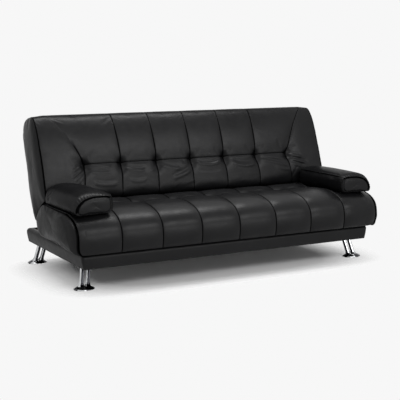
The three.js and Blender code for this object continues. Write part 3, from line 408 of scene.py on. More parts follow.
def fact(mesh, name):
    values = np.empty(len(mesh.vertices))
    mesh.attributes[name].data.foreach_get("value", values)
    return values


def weights(obj, name):
    """Makes a vertex group from the attribute of the same name."""
    group = obj.vertex_groups.new(name=name)
    stepped = np.round(fact(obj.data, name), 2)
    for weight in np.unique(stepped[stepped > 0]):
        group.add(np.flatnonzero(stepped == weight).tolist(), float(weight), "REPLACE")


def inflate(obj, pressure, growth, cap, frames):
    """Blows a cover up off the points that its attribute held keeps in place. Its cloth has more length
    than its outline needs, by growth[0] where its attribute slack is 0 and growth[1] where it is 1. No
    point moves farther than cap."""
    before = vectors(obj.data, "co")
    for name in ("held", "slack"):
        weights(obj, name)
    cloth = obj.modifiers.new("Cloth", "CLOTH")
    settings = cloth.settings
    for key, value in cover_cloth.items():
        setattr(settings, key, value)
    settings.shrink_min, settings.shrink_max = -growth[0], -growth[1]
    settings.uniform_pressure_force = pressure
    settings.effector_weights.gravity = 0
    cloth.collision_settings.use_collision = False
    cloth.point_cache.frame_start, cloth.point_cache.frame_end = 1, frames
    scene = bpy.context.scene
    for step in range(1, frames + 1):
        scene.frame_set(step)
    settled = obj.evaluated_get(bpy.context.evaluated_depsgraph_get())
    move = vectors(settled.data, "co") - before
    obj.modifiers.remove(cloth)
    obj.vertex_groups.clear()
    scene.frame_set(1)
    length = np.maximum(np.linalg.norm(move, axis=1)[:, None], 1e-9)
    move_to(obj.data, before + move / length * cap * np.tanh(length / cap))


def creased(obj):
    """Moves the points of a cover along their normals by its attribute fold."""
    mesh = obj.data
    move_to(mesh, vectors(mesh, "co") + vectors(mesh, "normal") * fact(mesh, "fold")[:, None])


# Channelled cushions

def on_seam(share):
    return (share < 1e-6) | (share > 1 - 1e-6)


def folded(x, above, pitch, folds):
    """The height over a cover of folds that droop from its tufts."""
    tufts = x / pitch + (channel_count / 2 - 1)
    height = 0
    for x0, drop0, x1, drop1, x2, drop2, rise, width in folds:
        part = (tufts - x0) / (x2 - x0)
        middle = (x1 - x0) / (x2 - x0)
        bend = (drop1 - drop0 - (drop2 - drop0) * middle) / (middle * (middle - 1))
        drop = drop0 + (drop2 - drop0) * part + bend * part * (part - 1)
        ends = smoothstep(part, 0, 0.2) * (1 - smoothstep(part, 0.75, 1))
        height = height + fold_depth * rise * bell(above * 1000 + drop, fold_width * width) * ends
    return height


def channel_columns(half_length, spacing, walls):
    """Columns along a cushion, counted in channels, with a close pair beside each seam and round each
    wall inside it."""
    pitch = 2 * half_length / channel_count
    edge = seam_half_width / pitch
    inner = np.linspace(2.2 * edge, 1 - 2.2 * edge, round(pitch / spacing) - 2)
    shares = np.concatenate([[0, edge], inner, [1 - edge]])
    columns = [channel + shares for channel in range(channel_count)] + [[channel_count]]
    for wall in walls:
        for x in (wall - touch_gap, wall + touch_gap):
            columns.append([(side * x + half_length) / pitch for side in (-1, 1)])
    return np.unique(np.concatenate(columns))


def channelled(outline, half_length, spacing, wall, crown, end_drop, groove, tuft, free, fan=0.0,
               narrowing=0.0, shown=lambda x, above: 1):
    """Places over a cushion sewn in channels along X, as (x, y, z) in its own section's frame, and what
    is true of each: the share of its channel, its distance above the line of tufts, its place along X
    and how deep in a tuft it lies. shown says how much of a seam there is at a place."""
    path, normals, along, tuft_along = outline
    pitch = 2 * half_length / channel_count
    last_tuft = pitch * (channel_count / 2 - 1)
    column = channel_columns(half_length, spacing, (*slot_walls, wall))[:, None]
    share = column - np.floor(column)
    x = column * pitch - half_length
    above = along[None] - tuft_along
    beyond = smoothstep(np.abs(x), last_tuft, half_length)
    seam_x = np.clip(np.round(x / pitch) * pitch, -last_tuft, last_tuft)
    inner_seam = (on_seam(share) & (np.abs(x) < half_length - clear)) * shown(x, above)
    out = crown * (1 - np.abs(2 * share - 1) ** 4) - seam_depth * inner_seam
    rise = above / (along[-1] - tuft_along)
    out = out * (1 - 0.85 * smoothstep(rise, 0.33, 0.42))
    out = out - groove[0] * bell(above, groove[1]) * (1 - beyond)
    dimple = bell(above, tuft[1] * np.where(above < 0, 2.2, 1)) * bell(x - seam_x, tuft[1])
    out = free[None] * (out - tuft[0] * dimple - end_drop * beyond)
    height = np.clip(rise / 0.55, 0, 1)
    reach = np.clip(1 - np.abs(np.abs(x) - last_tuft) / pitch, 0, 1) * np.sign(x)
    near_tufts = np.where(above > 0, 1 - height, smoothstep(above, -0.15, 0))
    fanned = fan * reach * (0.75 * height + 0.25 * height**4) - narrowing * x * (1 - beyond) * near_tufts
    places = np.stack([x + fanned, path[None, :, 0] + normals[None, :, 0] * out,
                       path[None, :, 1] + normals[None, :, 1] * out], axis=-1)
    return places, share + 0 * above, above + 0 * x, x + 0 * above, dimple


def closed_section(places, facts, x, wall, inside, outside):
    """Adds the rows that close each column's section behind its padding: inside's within the frame's
    walls and outside's beyond them."""
    defaults = {"held": 1.0, "slack": 0.0, "seam": 1.0, "run": 0.0, "fold": 0.0}
    inner = np.where((np.abs(x[:, :1]) < wall)[..., None], inside[None], outside[None])
    count = inner.shape[1]
    behind = np.concatenate([np.repeat(places[:, :1, :1], count, axis=1), inner], axis=-1)
    joined = np.concatenate([places, behind, places[:, :1]], axis=1)
    for key, value in facts.items():
        rest = np.full((len(places), count), defaults[key])
        facts[key] = np.concatenate([value, rest, value[:, :1]], axis=1)
    return joined, facts


def cushion_facts(share, above, pitch, held, slack):
    held = np.where(on_seam(share), 1.0, held)
    return {"held": held, "slack": slack, "seam": np.minimum(share, 1 - share) * pitch, "run": above}


def in_slot(x):
    return (np.abs(x) > slot_walls[0]) & (np.abs(x) < slot_walls[1])


def seat_outline():
    points = [(seat_front_y + depth * (seat_rear_y - seat_front_y),
               seat_low.z + height * (seat_top_z - seat_low.z)) for depth, height in seat_outline_shares]
    path, normals, along, controls = smooth_path(points, seat_grid_step)
    return path, normals, along, controls[seat_tuft_control]


def seat_places():
    outline = seat_outline()
    path = outline[0]
    free = 1 - smoothstep(path[:, 0], *seat_free_y)
    free *= smoothstep(path[:, 1], seat_low.z, seat_low.z + 0.016)
    wall = seat_frame_half_length + clear
    places, share, above, x, dimple = channelled(
        outline, seat_half_length, seat_grid_step, wall, seat_crown, seat_end_drop, seat_groove,
        seat_tuft, free)
    tucked = smoothstep(np.abs(x), seat_half_length - seat_end_tuck_length, seat_half_length)
    low = np.clip(1 - (places[..., 2] - seat_low.z) / seat_end_tuck[1], 0, 1)
    places[..., 0] -= np.sign(x) * seat_end_tuck[0] * tucked * (1 - np.sqrt(1 - low**2))
    pressed = smoothstep(np.abs(x), arm_inner_x - arm_press_width, arm_inner_x)
    open_top = seat_high.z + 0.01
    ceiling = open_top + (arm_under_z - arm_press_gap - open_top) * pressed
    under_arm = (pressed > 0) & (places[..., 2] > ceiling - 0.004)
    places[..., 2] = np.minimum(places[..., 2], ceiling)
    behind = (path[:, 0] > seat_held_y) & (path[:, 1] < 0.37) | (path[:, 1] < seat_low.z + 0.01)
    held = np.where(behind[None] | under_arm | (np.abs(x) > seat_half_length - clear), 1.0, 0.0)
    pitch = 2 * seat_half_length / channel_count
    beside_seam = bell(np.minimum(share, 1 - share) * pitch, 0.02)
    slack = np.clip(0.25 + bell(above, 0.05) + 0.6 * beside_seam, 0, 1)
    facts = cushion_facts(share, above, pitch, held, slack)
    facts["fold"] = -0.4 * seat_tuft[0] * dimple
    rear, front = path[-1, 0], path[0, 0]
    room = (deck_low.y - clear, deck_high.y + clear, deck_high.z + clear)
    inside = np.array([(rear, seat_low.z), ((rear + room[1]) / 2, seat_low.z), (room[1], seat_low.z),
                       (room[1], room[2]), (room[0], room[2]), (room[0], seat_low.z)])
    outside = np.linspace((rear, seat_low.z), (front, seat_low.z), 8)[1:-1]
    places, facts = closed_section(places, facts, x, wall, inside, outside)
    slot = in_slot(places[..., 0])
    places[slot, 1] = np.minimum(places[slot, 1], slot_front_y)
    return places, facts


def back_path(shares):
    points = [(-depth * (back_front if depth > 0 else back_rear), length * back_length)
              for depth, length in shares]
    return smooth_path(points, back_grid_step)


def back_outline():
    path, normals, along, controls = back_path(back_outline_shares)
    row = np.argmin(np.abs(along - controls[back_tuft_control] + back_tuft_lowering))
    return path, normals, along, along[row]


def back_rear_rows(count):
    path = back_path(back_rear_shares)[0]
    picks = np.linspace(0, len(path) - 1, count).round().astype(int)
    return path[picks]


def back_seam_shown(x, above):
    """The left-hand seam runs out halfway up the back."""
    leftmost = x < -2 * back_half_length / channel_count * (channel_count / 2 - 1.5)
    return 1 - smoothstep(above, 0.09, 0.15) * leftmost


def back_places():
    outline = back_outline()
    path = outline[0]
    free = smoothstep(-path[:, 0] / back_front, 0, 0.6) * smoothstep(path[:, 1] / back_length, 0.15, 0.4)
    wall = back_frame_half_length + clear
    places, share, above, x, dimple = channelled(
        outline, back_half_length, back_grid_step, wall, back_crown, back_end_drop, back_groove,
        back_tuft, free, back_seam_fan, back_tuft_narrowing, back_seam_shown)
    pitch = 2 * back_half_length / channel_count
    tuft_row = np.abs(above[0]) <= np.abs(above[0]).min() + 1e-9
    between_tufts = tuft_row[None] & (np.abs(x) < pitch * (channel_count / 2 - 1) + clear)
    places[..., 1] += np.where(between_tufts, seam_depth, 0)
    behind = (path[:, 0] > back_held_y) & ((path[:, 1] < 0.3) | (path[:, 1] > 0.4))
    held = np.where(behind[None] | between_tufts | (np.abs(x) > back_half_length - clear), 1.0, 0.0)
    slack = np.clip(0.9 * smoothstep(-above, -0.03, 0.02) + 0.6 * bell(above, 0.05), 0, 1)
    facts = cushion_facts(share, above, pitch, held, slack)
    shown = back_seam_shown(x, above)
    inside = np.abs(x) < back_half_length - clear
    facts["held"] = np.where((shown < 0.5) & inside & (above < 0.22), 0.0, facts["held"])
    # Painted crease shade also runs along the line of tufts between the outer tufts, and is dropped where the
    # left-hand seam runs out.
    across = np.where(np.abs(x) < pitch * (channel_count / 2 - 1) + clear, np.abs(above), 1)
    facts["seam"] = np.minimum(facts["seam"] + 0.02 * (1 - shown) * inside, across)
    facts["fold"] = (folded(x, above, pitch, back_folds) - 0.5 * back_tuft[0] * dimple) * free[None]
    low, top, front = back_frame_low - clear, back_frame_top + clear, back_deck_front - clear
    corners = [(path[-1, 0], top), (front, top), (front, low), (path[0, 0], low)]
    inside = np.vstack([np.linspace(corners[0], corners[1], 4), np.linspace(corners[1], corners[2], 18),
                        np.linspace(corners[2], corners[3], 4)])
    places, facts = closed_section(places, facts, x, wall, inside, back_rear_rows(26))
    slot = in_slot(places[..., 0])
    places[slot, 2] = np.maximum(places[slot, 2], slot_top)
    return places, facts


def leaning(places):
    """Moves places from the back's own frame to the sofa's."""
    turn_cos, turn_sin = math.cos(back_lean), math.sin(back_lean)
    moved = places.copy()
    moved[..., 1] = hinge_y + places[..., 1] * turn_cos + places[..., 2] * turn_sin
    moved[..., 2] = hinge_z - places[..., 1] * turn_sin + places[..., 2] * turn_cos
    return moved


def end_panel(name, ring, puff, flatter, rounding, seed):
    """A puffed pad on the right-hand end of a cushion, inside the ring of its end seam."""
    middle = ring.mean(axis=0)
    near_seam = [0, 0.004, 0.012, 0.024, 0.04, 0.06, 0.085]
    shares = np.concatenate([near_seam, np.linspace(0.115, 1, 26)])[:, None]
    around = np.linspace(0, 2 * np.pi, len(ring))
    places = ring[None] + (middle - ring)[None] * shares[..., None]
    places[..., 0] = ring[:, 0] + (middle[0] - ring[:, 0]) * (1 - (1 - shares) ** 3)
    puckers = swelling(seed, 9 * np.cos(around), 9 * np.sin(around), amplitude=0.0016, scale=2.0)
    inset = np.linalg.norm(middle - ring, axis=1)[None] * shares
    edge = np.clip(1 - inset / rounding, 0, 1)
    puff = puff * (1 - flatter * smoothstep(places[..., 1], -0.3, 0.15))
    rounded = np.sqrt(1 - edge**2)
    crowned = np.sin(shares * math.pi / 2)
    places[..., 0] += touch_gap + puff * (0.75 * rounded + 0.25 * crowned)
    places[..., 0] += puckers[None] * bell(shares - 0.06, 0.05)
    flat = np.zeros(places.shape[:2])
    # seam, the inset from the end seam, puts painted crease shade along the panel's edge.
    facts = {"held": flat + (shares < 0.005), "slack": flat + np.clip(1 - shares / 0.3, 0, 1),
             "seam": inset, "run": flat + run_along(ring)[None]}
    return skin(name, places, facts)


def pair(right, body, material, replaces=None, fill=None):
    """Finishes a right-hand piece and its mirrored twin."""
    left = mirrored(right, right.name.replace("right", "left"))
    for obj, side in ((right, "right"), (left, "left")):
        finished(obj, body, material, [f"{replaces}_{side}"] if replaces else ())


def cushion_end(part, ring, body, form, material):
    """The puffed panels at both ends of a cushion."""
    panel = end_panel(f"{part}_end_pad_right", ring, *form)
    inflate(panel, *end_blown)
    pair(smoothed(panel), body, material, f"{part}_end_panel", 0.8)


def seat(material, stitched):
    places, facts = seat_places()
    cushion = skin("seat_cushion_cover", places, facts)
    inflate(cushion, *seat_blown)
    creased(cushion)
    finished(smoothed(cushion), "base", material, ["seat_cushion"])
    top = places[-1, : len(seat_outline()[0])]
    ring = np.vstack([top, np.linspace(top[-1], top[0], 60)[1:]])
    cushion_end("seat", ring, "base", seat_end, stitched)


def back(plain, stitched, ends):
    places, facts = back_places()
    cushion = skin("back_cushion_cover", leaning(places), facts)
    inflate(cushion, *back_blown)
    creased(cushion)
    finished(smoothed(cushion), "back", stitched, ["back_cushion"])
    cushion_end("back", leaning(places[-1]), "back", back_end, ends)
    rear_panel(plain)


def rear_panel(material):
    """The padded panel that closes the back's frame from behind."""
    rows = back_rear_rows(50)
    rows = rows[np.argsort(rows[:, 1])]
    reach = clear - touch_gap
    heights = np.linspace(back_frame_top + reach, back_frame_low - reach, 46)
    rear = np.column_stack([np.interp(heights, rows[:, 1], rows[:, 0]), heights])
    half = back_frame_half_length + reach
    x = np.linspace(-half, half, 180)[:, None]
    face = np.stack(np.broadcast_arrays(x, rear[:, 0], rear[:, 1]), axis=-1)
    edge = np.clip((half - np.abs(x)) / rear_panel_edge[0], 0, 1)
    face[..., 1] -= rear_panel_edge[1] * (1 - np.sqrt(edge))
    face[..., 1] += swelling(3, face[..., 0], face[..., 2], amplitude=0.001, scale=14)
    inner = face[:, [-1, 0]]
    inner[..., 1] = back_frame_rear + clear
    panel = skin("back_rear_cover", leaning(np.concatenate([face, inner, face[:, :1]], axis=1)))
    finished(panel, "back", material, ["back_rear_panel"])


# Arms

def arm_places(shares):
    size = np.array([arm_outer_x - arm_inner_x, arm_top_z - arm_under_z])
    return np.array([arm_inner_x, arm_under_z]) + np.array(shares) * size


def arm_path(shares):
    path, normals, along, marks = smooth_path(arm_places(shares), arm_grid_step, closed=True)
    even = np.linspace(0, 1, arm_points)
    share = along / along[-1]
    return resampled(path, share, even), resampled(normals, share, even)


def arm_sections():
    """Sections of the right arm from the middle of its front to the middle of its rear, the numbers of
    its two end seams, and how far its front outline faces up. The front is a panel sunk in its seam."""
    path, normals = arm_path(arm_outline_shares)
    front_path, front_normals = arm_path(arm_front_shares)
    middle = front_path.mean(axis=0)
    arc = smoothstep(front_normals @ (0.6, 0.8), 0, 0.6)
    free = smoothstep(path[:, 1], arm_under_z, arm_under_z + 0.01)[:, None]
    length = arm_rear_y - arm_front_y
    shares = np.concatenate([np.linspace(1, 0.3, 8), [0.25, 0.21, 0.18]])
    panel = [(arm_puff * math.sin(min(share / 0.6, 1) * math.pi / 2), share) for share in shares]
    lip = [(-0.6, 0.155), (-1, 0.13), (-1, 0.05), (-0.4, 0.03), (0, 0.012)]
    lip = [(depth * arm_crease * (0.35 + 0.65 * arc), share) for depth, share in lip]
    rings = [(arm_front_y - out, front_path * (1 - share) + middle * share) for out, share in panel + lip]
    front_seam = len(panel) + 2
    body = np.concatenate([[0.004, 0.012, 0.022], np.linspace(0.036, 0.97, 52), [0.986, 0.994, 1]])
    for share in body:
        blend = max(1 - length * share / arm_front_rounding, 0) ** 2.5
        grown = path + normals * arm_crown * math.sin(math.pi * share) ** 0.6 * free
        rings.append((arm_front_y + length * share, grown * (1 - blend) + front_path * blend))
    rear_seam = len(rings) - 1
    centre = path.mean(axis=0)
    for out, share in reversed(panel):
        rings.append((arm_rear_y + out, path * (1 - share) + centre * share))
    places = np.array([np.insert(ring, 1, y, axis=1) for y, ring in rings])
    places[..., 2] = np.maximum(places[..., 2], arm_under_z)
    return places, (front_seam, rear_seam), arc


def puckers(places, seams):
    """How far the cover is gathered beside the seam round the front of an arm."""
    run = run_along(places[seams[0]])
    draw = np.random.default_rng(4)
    waves = np.sin(2 * np.pi * run / pucker_length + 2.5 * np.sin(run * 23))
    waves = np.convolve(waves * draw.uniform(0.3, 1, len(run)), (0.25, 0.5, 0.25), "same")
    upper = smoothstep(places[seams[0]][:, 2], arm_under_z + 0.01, arm_under_z + 0.03)
    number = np.arange(len(places))[:, None]
    behind = places[..., 1] - arm_front_y
    outside = (number > seams[0] + 1) & (number < seams[1] - 8)
    outer = smoothstep(places[seams[0]][:, 0], arm_inner_x, arm_outer_x - 0.03)
    fading = np.exp(-np.maximum(behind, 0) / pucker_reach)
    return pucker_height * (0.35 + 0.65 * outer) * waves * upper * fading * outside


def arms(plain, stitched):
    places, seams, arc = arm_sections()
    held = np.where(places[..., 2] < arm_under_z + 0.002, 1.0, 0.0)
    held[list(seams)] = held[seams[0] - 1] = 1
    number = np.arange(len(places))[:, None]
    near = np.minimum(np.abs(number - seams[0]), np.abs(number - seams[1]))
    slack = np.clip(1 - near / 9, 0, 1) + 0 * held
    along = run_along(places)
    seam = np.minimum(np.abs(along - along[seams[0]]), np.abs(along - along[seams[1]]))
    # Painted crease shade round the front panel: the seam distance is also zero on the lip ring, and is raised
    # away from the upper arc, so the painted dark line is strongest where the lip overhangs.
    seam[seams[0] - 1] = 0
    seam += 0.003 * (1 - arc) * (number < seams[1] - 8)
    run = run_along(places[seams[0]])[None] + 0 * held
    facts = {"held": held, "slack": slack, "seam": seam, "run": run, "fold": puckers(places, seams)}
    pad = skin("arm_wrap_right", places, facts)
    inflate(pad, *arm_blown)
    creased(pad)
    pair(smoothed(pad), "base", stitched, "arm_pad", 0.8)
    middle = places[len(places) // 2][:, [0, 2]]
    row = int(np.argmin(np.linalg.norm(middle - arm_places(arm_edge_share), axis=1)))
    edge = places[seams[0] + 3 : seams[1] + 1, row]
    pair(welt("arm_edge_welt_right", edge, (0.5, 0, 0.87)), "base", plain)


# Base covers

def base_section():
    """A padded cover's closed section, as its inset from the outside and its height."""
    r = base_top_rounding
    rounding = [(r * (1 - math.sin(a)), base_high.z - r * (1 - math.cos(a)))
                for a in np.linspace(0, math.pi / 2, 7)]
    face = [(0, z) for z in np.linspace(base_high.z - r, base_low.z + 0.004, 9)[1:]]
    outer = [(rail_inner_inset, base_high.z), (0.02, base_high.z)] + rounding + face
    outer += [(0.0015, base_low.z + 0.001), (0.004, base_low.z), (rail_inner_inset, base_low.z)]
    low, high = base_low.z + cover_thickness, base_high.z - cover_thickness
    inner = [(rail_inner_inset, low), (cover_thickness, low), (cover_thickness, high),
             (rail_inner_inset, high)]
    return outer, inner


def corner_arc(inset, z, toward_end):
    """Half of a base corner in plan, from its mitre round to one side: x from the middle of the sofa,
    and y inwards from the base's front or rear."""
    half = base_half_length - base_end_taper * (base_high.z - z) / (base_high.z - base_low.z)
    inset_x = inset / rail_inner_inset * (half - rail_inner_x)
    r = base_corner_radius
    points = []
    for a in np.linspace(math.pi / 4, math.pi / 2, 6):
        run, rise = (math.sin(a), math.cos(a)) if toward_end else (math.cos(a), math.sin(a))
        points.append((half - max(r, inset_x) + max(r - inset_x, 0) * run,
                       max(r, inset) - max(r - inset, 0) * rise))
    return points


def base_cover(side, material):
    """One mitred side of the padded cover round the base's rails."""
    outer, inner = base_section()
    rows = []
    for inset, z in outer + inner + outer[:1]:
        arc = corner_arc(inset, z, side in ("left", "right"))
        front = [(x, base_low.y + y) for x, y in arc]
        rear = [(x, base_rear_y - y) for x, y in arc]
        end_x = arc[-1][0]
        if side in ("front", "rear"):
            near = front if side == "front" else rear
            straight = [(x, near[-1][1]) for x in np.linspace(end_x, -end_x, 160)[1:-1]]
            line = near + straight + [(-x, y) for x, y in reversed(near)]
        else:
            sign = 1 if side == "right" else -1
            straight = [(end_x, y) for y in np.linspace(front[-1][1], rear[-1][1], 80)[1:-1]]
            line = [(sign * x, y) for x, y in front + straight + rear[::-1]]
        rows.append([(x, y, z) for x, y in line])
    places = np.array(rows).transpose(1, 0, 2)
    number = np.arange(places.shape[1])
    on_face = (number > 2) & (number < len(outer) - 3)
    swell = swelling(11, *np.moveaxis(places, -1, 0), amplitude=0.001, scale=16) * on_face
    rise = (places[..., 2] - base_low.z) / (base_high.z - base_low.z)
    swell -= base_bulge * np.abs(2 * rise - 1) ** 2 * on_face
    swell[[0, -1]] -= clear * on_face
    outward = {"front": (0.0, -1.0), "rear": (0.0, 1.0), "left": (-1.0, 0.0), "right": (1.0, 0.0)}[side]
    places[..., :2] += swell[..., None] * outward
    cover = skin(f"base_{side}_wrap", places)
    finished(cover, "base", material, [f"base_{side}_cover"])


# Legs

def leg(corner, material):
    sign_y = -1 if corner.startswith("front") else 1
    sign_x = 1 if corner.endswith("right") else -1
    low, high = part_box(f"glide_{corner}")
    foot_x, foot_y = (low.x + high.x) / 2, (low.y + high.y) / 2
    drop = Vector((-sign_x * splay_x, -sign_y * splay_y, 1))

    def centre(z, offset=0.0):
        return Vector((foot_x + offset, foot_y, 0)) + drop * z

    tubes, foot = bmesh.new(), bmesh.new()
    for bm in (tubes, foot):
        bm.verts.layers.float.new("painted_reflection_streak")
    dome = [(share * foot_half_length, foot_under_z + rise * foot_height) for share, rise in foot_dome]
    plate = turned(foot, dome, 64)
    # The foot's dome gets its painted reflection bands flipped, dark where the sockets' are bright.
    painted_reflection_streak = foot.verts.layers.float["painted_reflection_streak"]
    for vert in plate:
        vert[painted_reflection_streak] *= -1
    bmesh.ops.scale(foot, vec=(1, foot_half_width / foot_half_length, 1), verts=plate)
    bmesh.ops.translate(foot, vec=(foot_x, foot_y, 0), verts=plate)
    for offset in (-tube_spacing / 2, tube_spacing / 2):
        bottom = centre(foot_under_z + foot_height / 2, offset)
        top = centre(leg_plate_top_z - touch_gap, offset)
        turn = (top - bottom).to_track_quat("Z", "Y").to_matrix().to_4x4()
        length = (top - bottom).length
        rise = (centre(socket_top_z, offset) - bottom).length
        tube = [(0, 0), (tube_radius, 0), (tube_radius, length), (0, length)]
        flare = [(tube_radius + wider, rise * share) for wider, share in socket_flare]
        for bm, profile in ((tubes, tube), (foot, [(0, 0)] + flare + [(0, rise)])):
            made = turned(bm, profile, 36)
            bmesh.ops.transform(bm, matrix=Matrix.Translation(bottom) @ turn, verts=made)
    flange = bmesh.ops.create_cube(tubes, size=1)["verts"]
    bmesh.ops.scale(tubes, vec=(*leg_plate_size, leg_plate_top_z - leg_plate_under_z), verts=flange)
    plate_x = sign_x * (rail_inner_x - touch_gap - leg_plate_size[0] / 2)
    plate_z = (leg_plate_under_z + leg_plate_top_z) / 2
    bmesh.ops.translate(tubes, vec=(plate_x, centre(leg_plate_under_z).y, plate_z), verts=flange)
    for name, bm in (("leg", tubes), ("foot", foot)):
        bmesh.ops.recalc_face_normals(bm, faces=bm.faces)
        obj = from_bmesh(f"{name}_{corner}_bright", bm)
        obj.data.set_sharp_from_angle(angle=math.radians(40))
        finished(obj, "base", material, [f"{name}_{corner}"])


# Springs

def leaf_spring(side, material):
    """A pawl's leaf spring, whose bow follows the pawl while its top stays on the base."""
    node = f"pawl_spring_{side}"
    low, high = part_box(node)
    bm = bmesh.new()
    bm.from_mesh(frame["nodes"][node].data)
    bmesh.ops.remove_doubles(bm, verts=bm.verts, dist=1e-6)
    bmesh.ops.recalc_face_normals(bm, faces=bm.faces)
    spring = from_bmesh(f"pawl_leaf_spring_{side}", bm)
    spring.data.set_sharp_from_angle(angle=math.radians(40))
    spring.data.materials.append(material)
    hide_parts(node)
    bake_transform(spring, "base", f"pawl_{side}", start=(low.x, low.y, high.z - 0.0012),
             end=(low.x, low.y, low.z + 0.001))


# Materials

leather_gloss = 0.16
leather_colours = ((0.0042, 0.0042, 0.0046), (0.0075, 0.0075, 0.008))
seat_grazing = 0.8
end_grazing = 0.42
plain_grazing = 0.25
stitched_grazing = 0.12
stitch_length = 0.005
seam_shadow = (0.0012, 0.0044)
stitch_band = (0.003, 0.007)
# Chrome's colour runs from a painted dark reflection to its bright metal.
chrome_painted_reflection_colours = ((0.035, 0.035, 0.04), (0.55, 0.56, 0.57))
zinc_colours = ((0.4, 0.41, 0.42), (0.45, 0.46, 0.47))


def material_nodes(name):
    """A new material, with its node tree, its shader and the object's own coordinates."""
    material = bpy.data.materials.new(name)
    material.use_nodes = True
    tree = material.node_tree
    place = add(tree, "TexCoord").outputs["Object"]
    return material, tree, tree.nodes["Principled BSDF"], place


def feed(tree, socket, value):
    """Gives an input a plain value or another node's output."""
    if isinstance(value, bpy.types.NodeSocket):
        tree.links.new(value, socket)
    else:
        socket.default_value = value


def filled(tree, node, **values):
    """Feeds a node's inputs, or else sets its own settings. An underscore in a name stands for a space."""
    for key, value in values.items():
        socket = node.inputs.get(key.replace("_", " "))
        if socket is None:
            setattr(node, key, value)
        else:
            feed(tree, socket, value)
    return node


def add(tree, kind, **values):
    return filled(tree, tree.nodes.new("ShaderNode" + kind), **values)


def attribute(tree, name):
    return add(tree, "Attribute", attribute_name=name).outputs["Fac"]


def maths(tree, operation, *values, kind="Math"):
    """The result of a math node on values or other nodes' outputs."""
    node = add(tree, kind, operation=operation)
    for socket, value in zip(node.inputs, values):
        feed(tree, socket, value)
    return node.outputs["Value" if kind == "Math" or operation == "LENGTH" else "Vector"]


def noise(tree, place, scale, detail=3.0, stretch=None):
    if stretch:
        place = add(tree, "Mapping", Vector=place, Scale=stretch).outputs["Vector"]
    return add(tree, "TexNoise", Vector=place, Scale=scale, Detail=detail).outputs["Fac"]


def coloured(tree, factor, dark, light):
    ramp = add(tree, "ValToRGB", Fac=factor)
    for element, position, colour in zip(ramp.color_ramp.elements, (0.3, 0.7), (dark, light)):
        element.position = position
        element.color = (*colour, 1)
    return ramp.outputs["Color"]


def ranged(tree, value, low, high, from_low=0.3, from_high=0.7):
    node = add(tree, "MapRange", Value=value, From_Min=from_low, From_Max=from_high, To_Min=low,
               To_Max=high)
    return node.outputs["Result"]


def bumped(tree, height, strength, distance, **under):
    node = add(tree, "Bump", Height=height, Strength=strength, Distance=distance, **under)
    return node.outputs["Normal"]


def leather(name, grazing, stitched=True):
    """Black leather, with less gloss where it is seen square and grazing times it at a low angle. When stitched it
    has painted shade along its seams, in both colour and gloss, with stitches beside them, where the attributes
    seam and run put them."""
    material, tree, shader, place = material_nodes(name)
    colour = coloured(tree, noise(tree, place, 6), *leather_colours)
    facing = add(tree, "LayerWeight", Blend=0.5).outputs["Facing"]
    gloss = ranged(tree, facing, leather_gloss, grazing * leather_gloss, 0.22, 0.58)
    grain = add(tree, "TexVoronoi", Vector=place, Scale=520.0).outputs["Distance"]
    normal = bumped(tree, grain, 0.3, 0.0003)
    normal = bumped(tree, noise(tree, place, 24, 5), 0.22, 0.003, Normal=normal)
    if stitched:
        # Painted crease shade: colour and gloss fall to 0.08 within 1.2 mm of a seam and come back by 4.4 mm.
        seam = attribute(tree, "seam")
        shade = ranged(tree, seam, 0.08, 1, *seam_shadow)
        gloss = maths(tree, "MULTIPLY", gloss, shade)
        mixed = add(tree, "Mix", data_type="RGBA", blend_type="MULTIPLY", Factor=1)
        feed(tree, mixed.inputs[6], colour)
        feed(tree, mixed.inputs[7], shade)
        colour = mixed.outputs[2]
        turns = maths(tree, "MULTIPLY", attribute(tree, "run"), 2 * math.pi / stitch_length)
        near = ranged(tree, seam, 1, 0, *stitch_band)
        stitches = maths(tree, "MULTIPLY", maths(tree, "SINE", turns), near)
        normal = bumped(tree, stitches, 0.35, 0.0006, Normal=normal)
    filled(tree, shader, Base_Color=colour, Specular_IOR_Level=gloss, Normal=normal,
           Roughness=ranged(tree, noise(tree, place, 30), 0.3, 0.38))
    return material


def wood(name, dark, light, scale):
    material, tree, shader, place = material_nodes(name)
    grain = noise(tree, place, scale, 6, (0.06, 1, 1))
    filled(tree, shader, Base_Color=coloured(tree, grain, dark, light),
           Roughness=ranged(tree, noise(tree, place, 60), 0.6, 0.75),
           Normal=bumped(tree, grain, 0.3, 0.0006))
    return material


def dull(name, dark, light, roughness, scale, detail, strength, distance):
    """A rough black material with a fine speckle."""
    material, tree, shader, place = material_nodes(name)
    speckle = noise(tree, place, scale, detail)
    filled(tree, shader, Base_Color=coloured(tree, speckle, dark, light), Roughness=roughness,
           Normal=bumped(tree, speckle, strength, distance))
    return material


def metal(name, colours, roughness, scale, reflection_streaked=False):
    """Metal with a noise in its colour: a smudged tone on zinc steel, and painted dark and bright reflections on
    chrome. When streaked it also has painted reflection bands along what is spun, from the attribute streak.
    """
    material, tree, shader, place = material_nodes(name)
    smudges_and_painted_reflection = factor = noise(tree, place, scale)
    if reflection_streaked:
        painted_reflection_streaks = maths(tree, "MULTIPLY_ADD", smudges_and_painted_reflection, 1.6, attribute(tree, "painted_reflection_streak"))
        factor = ranged(tree, painted_reflection_streaks, 1, 0, 0.3, 0.9)
    filled(tree, shader, Base_Color=coloured(tree, factor, *colours),
           Roughness=ranged(tree, smudges_and_painted_reflection, *roughness), Metallic=1)
    return material


# Lights, floor and camera

camera_bearings = (-28.51, 8.852)
camera_distance = 5.4
camera_target = Vector((0.01035, 0.0225, 0.33643))
camera_focal_px = 980.4
frame_px = 400
backdrop_strength = 0.93
fill_strength = 0.35
floor_reach = (0.98, 0.54)
floor_fade = (0.48, 1.1)
softbox_target = Vector((0, 0, 0.4))
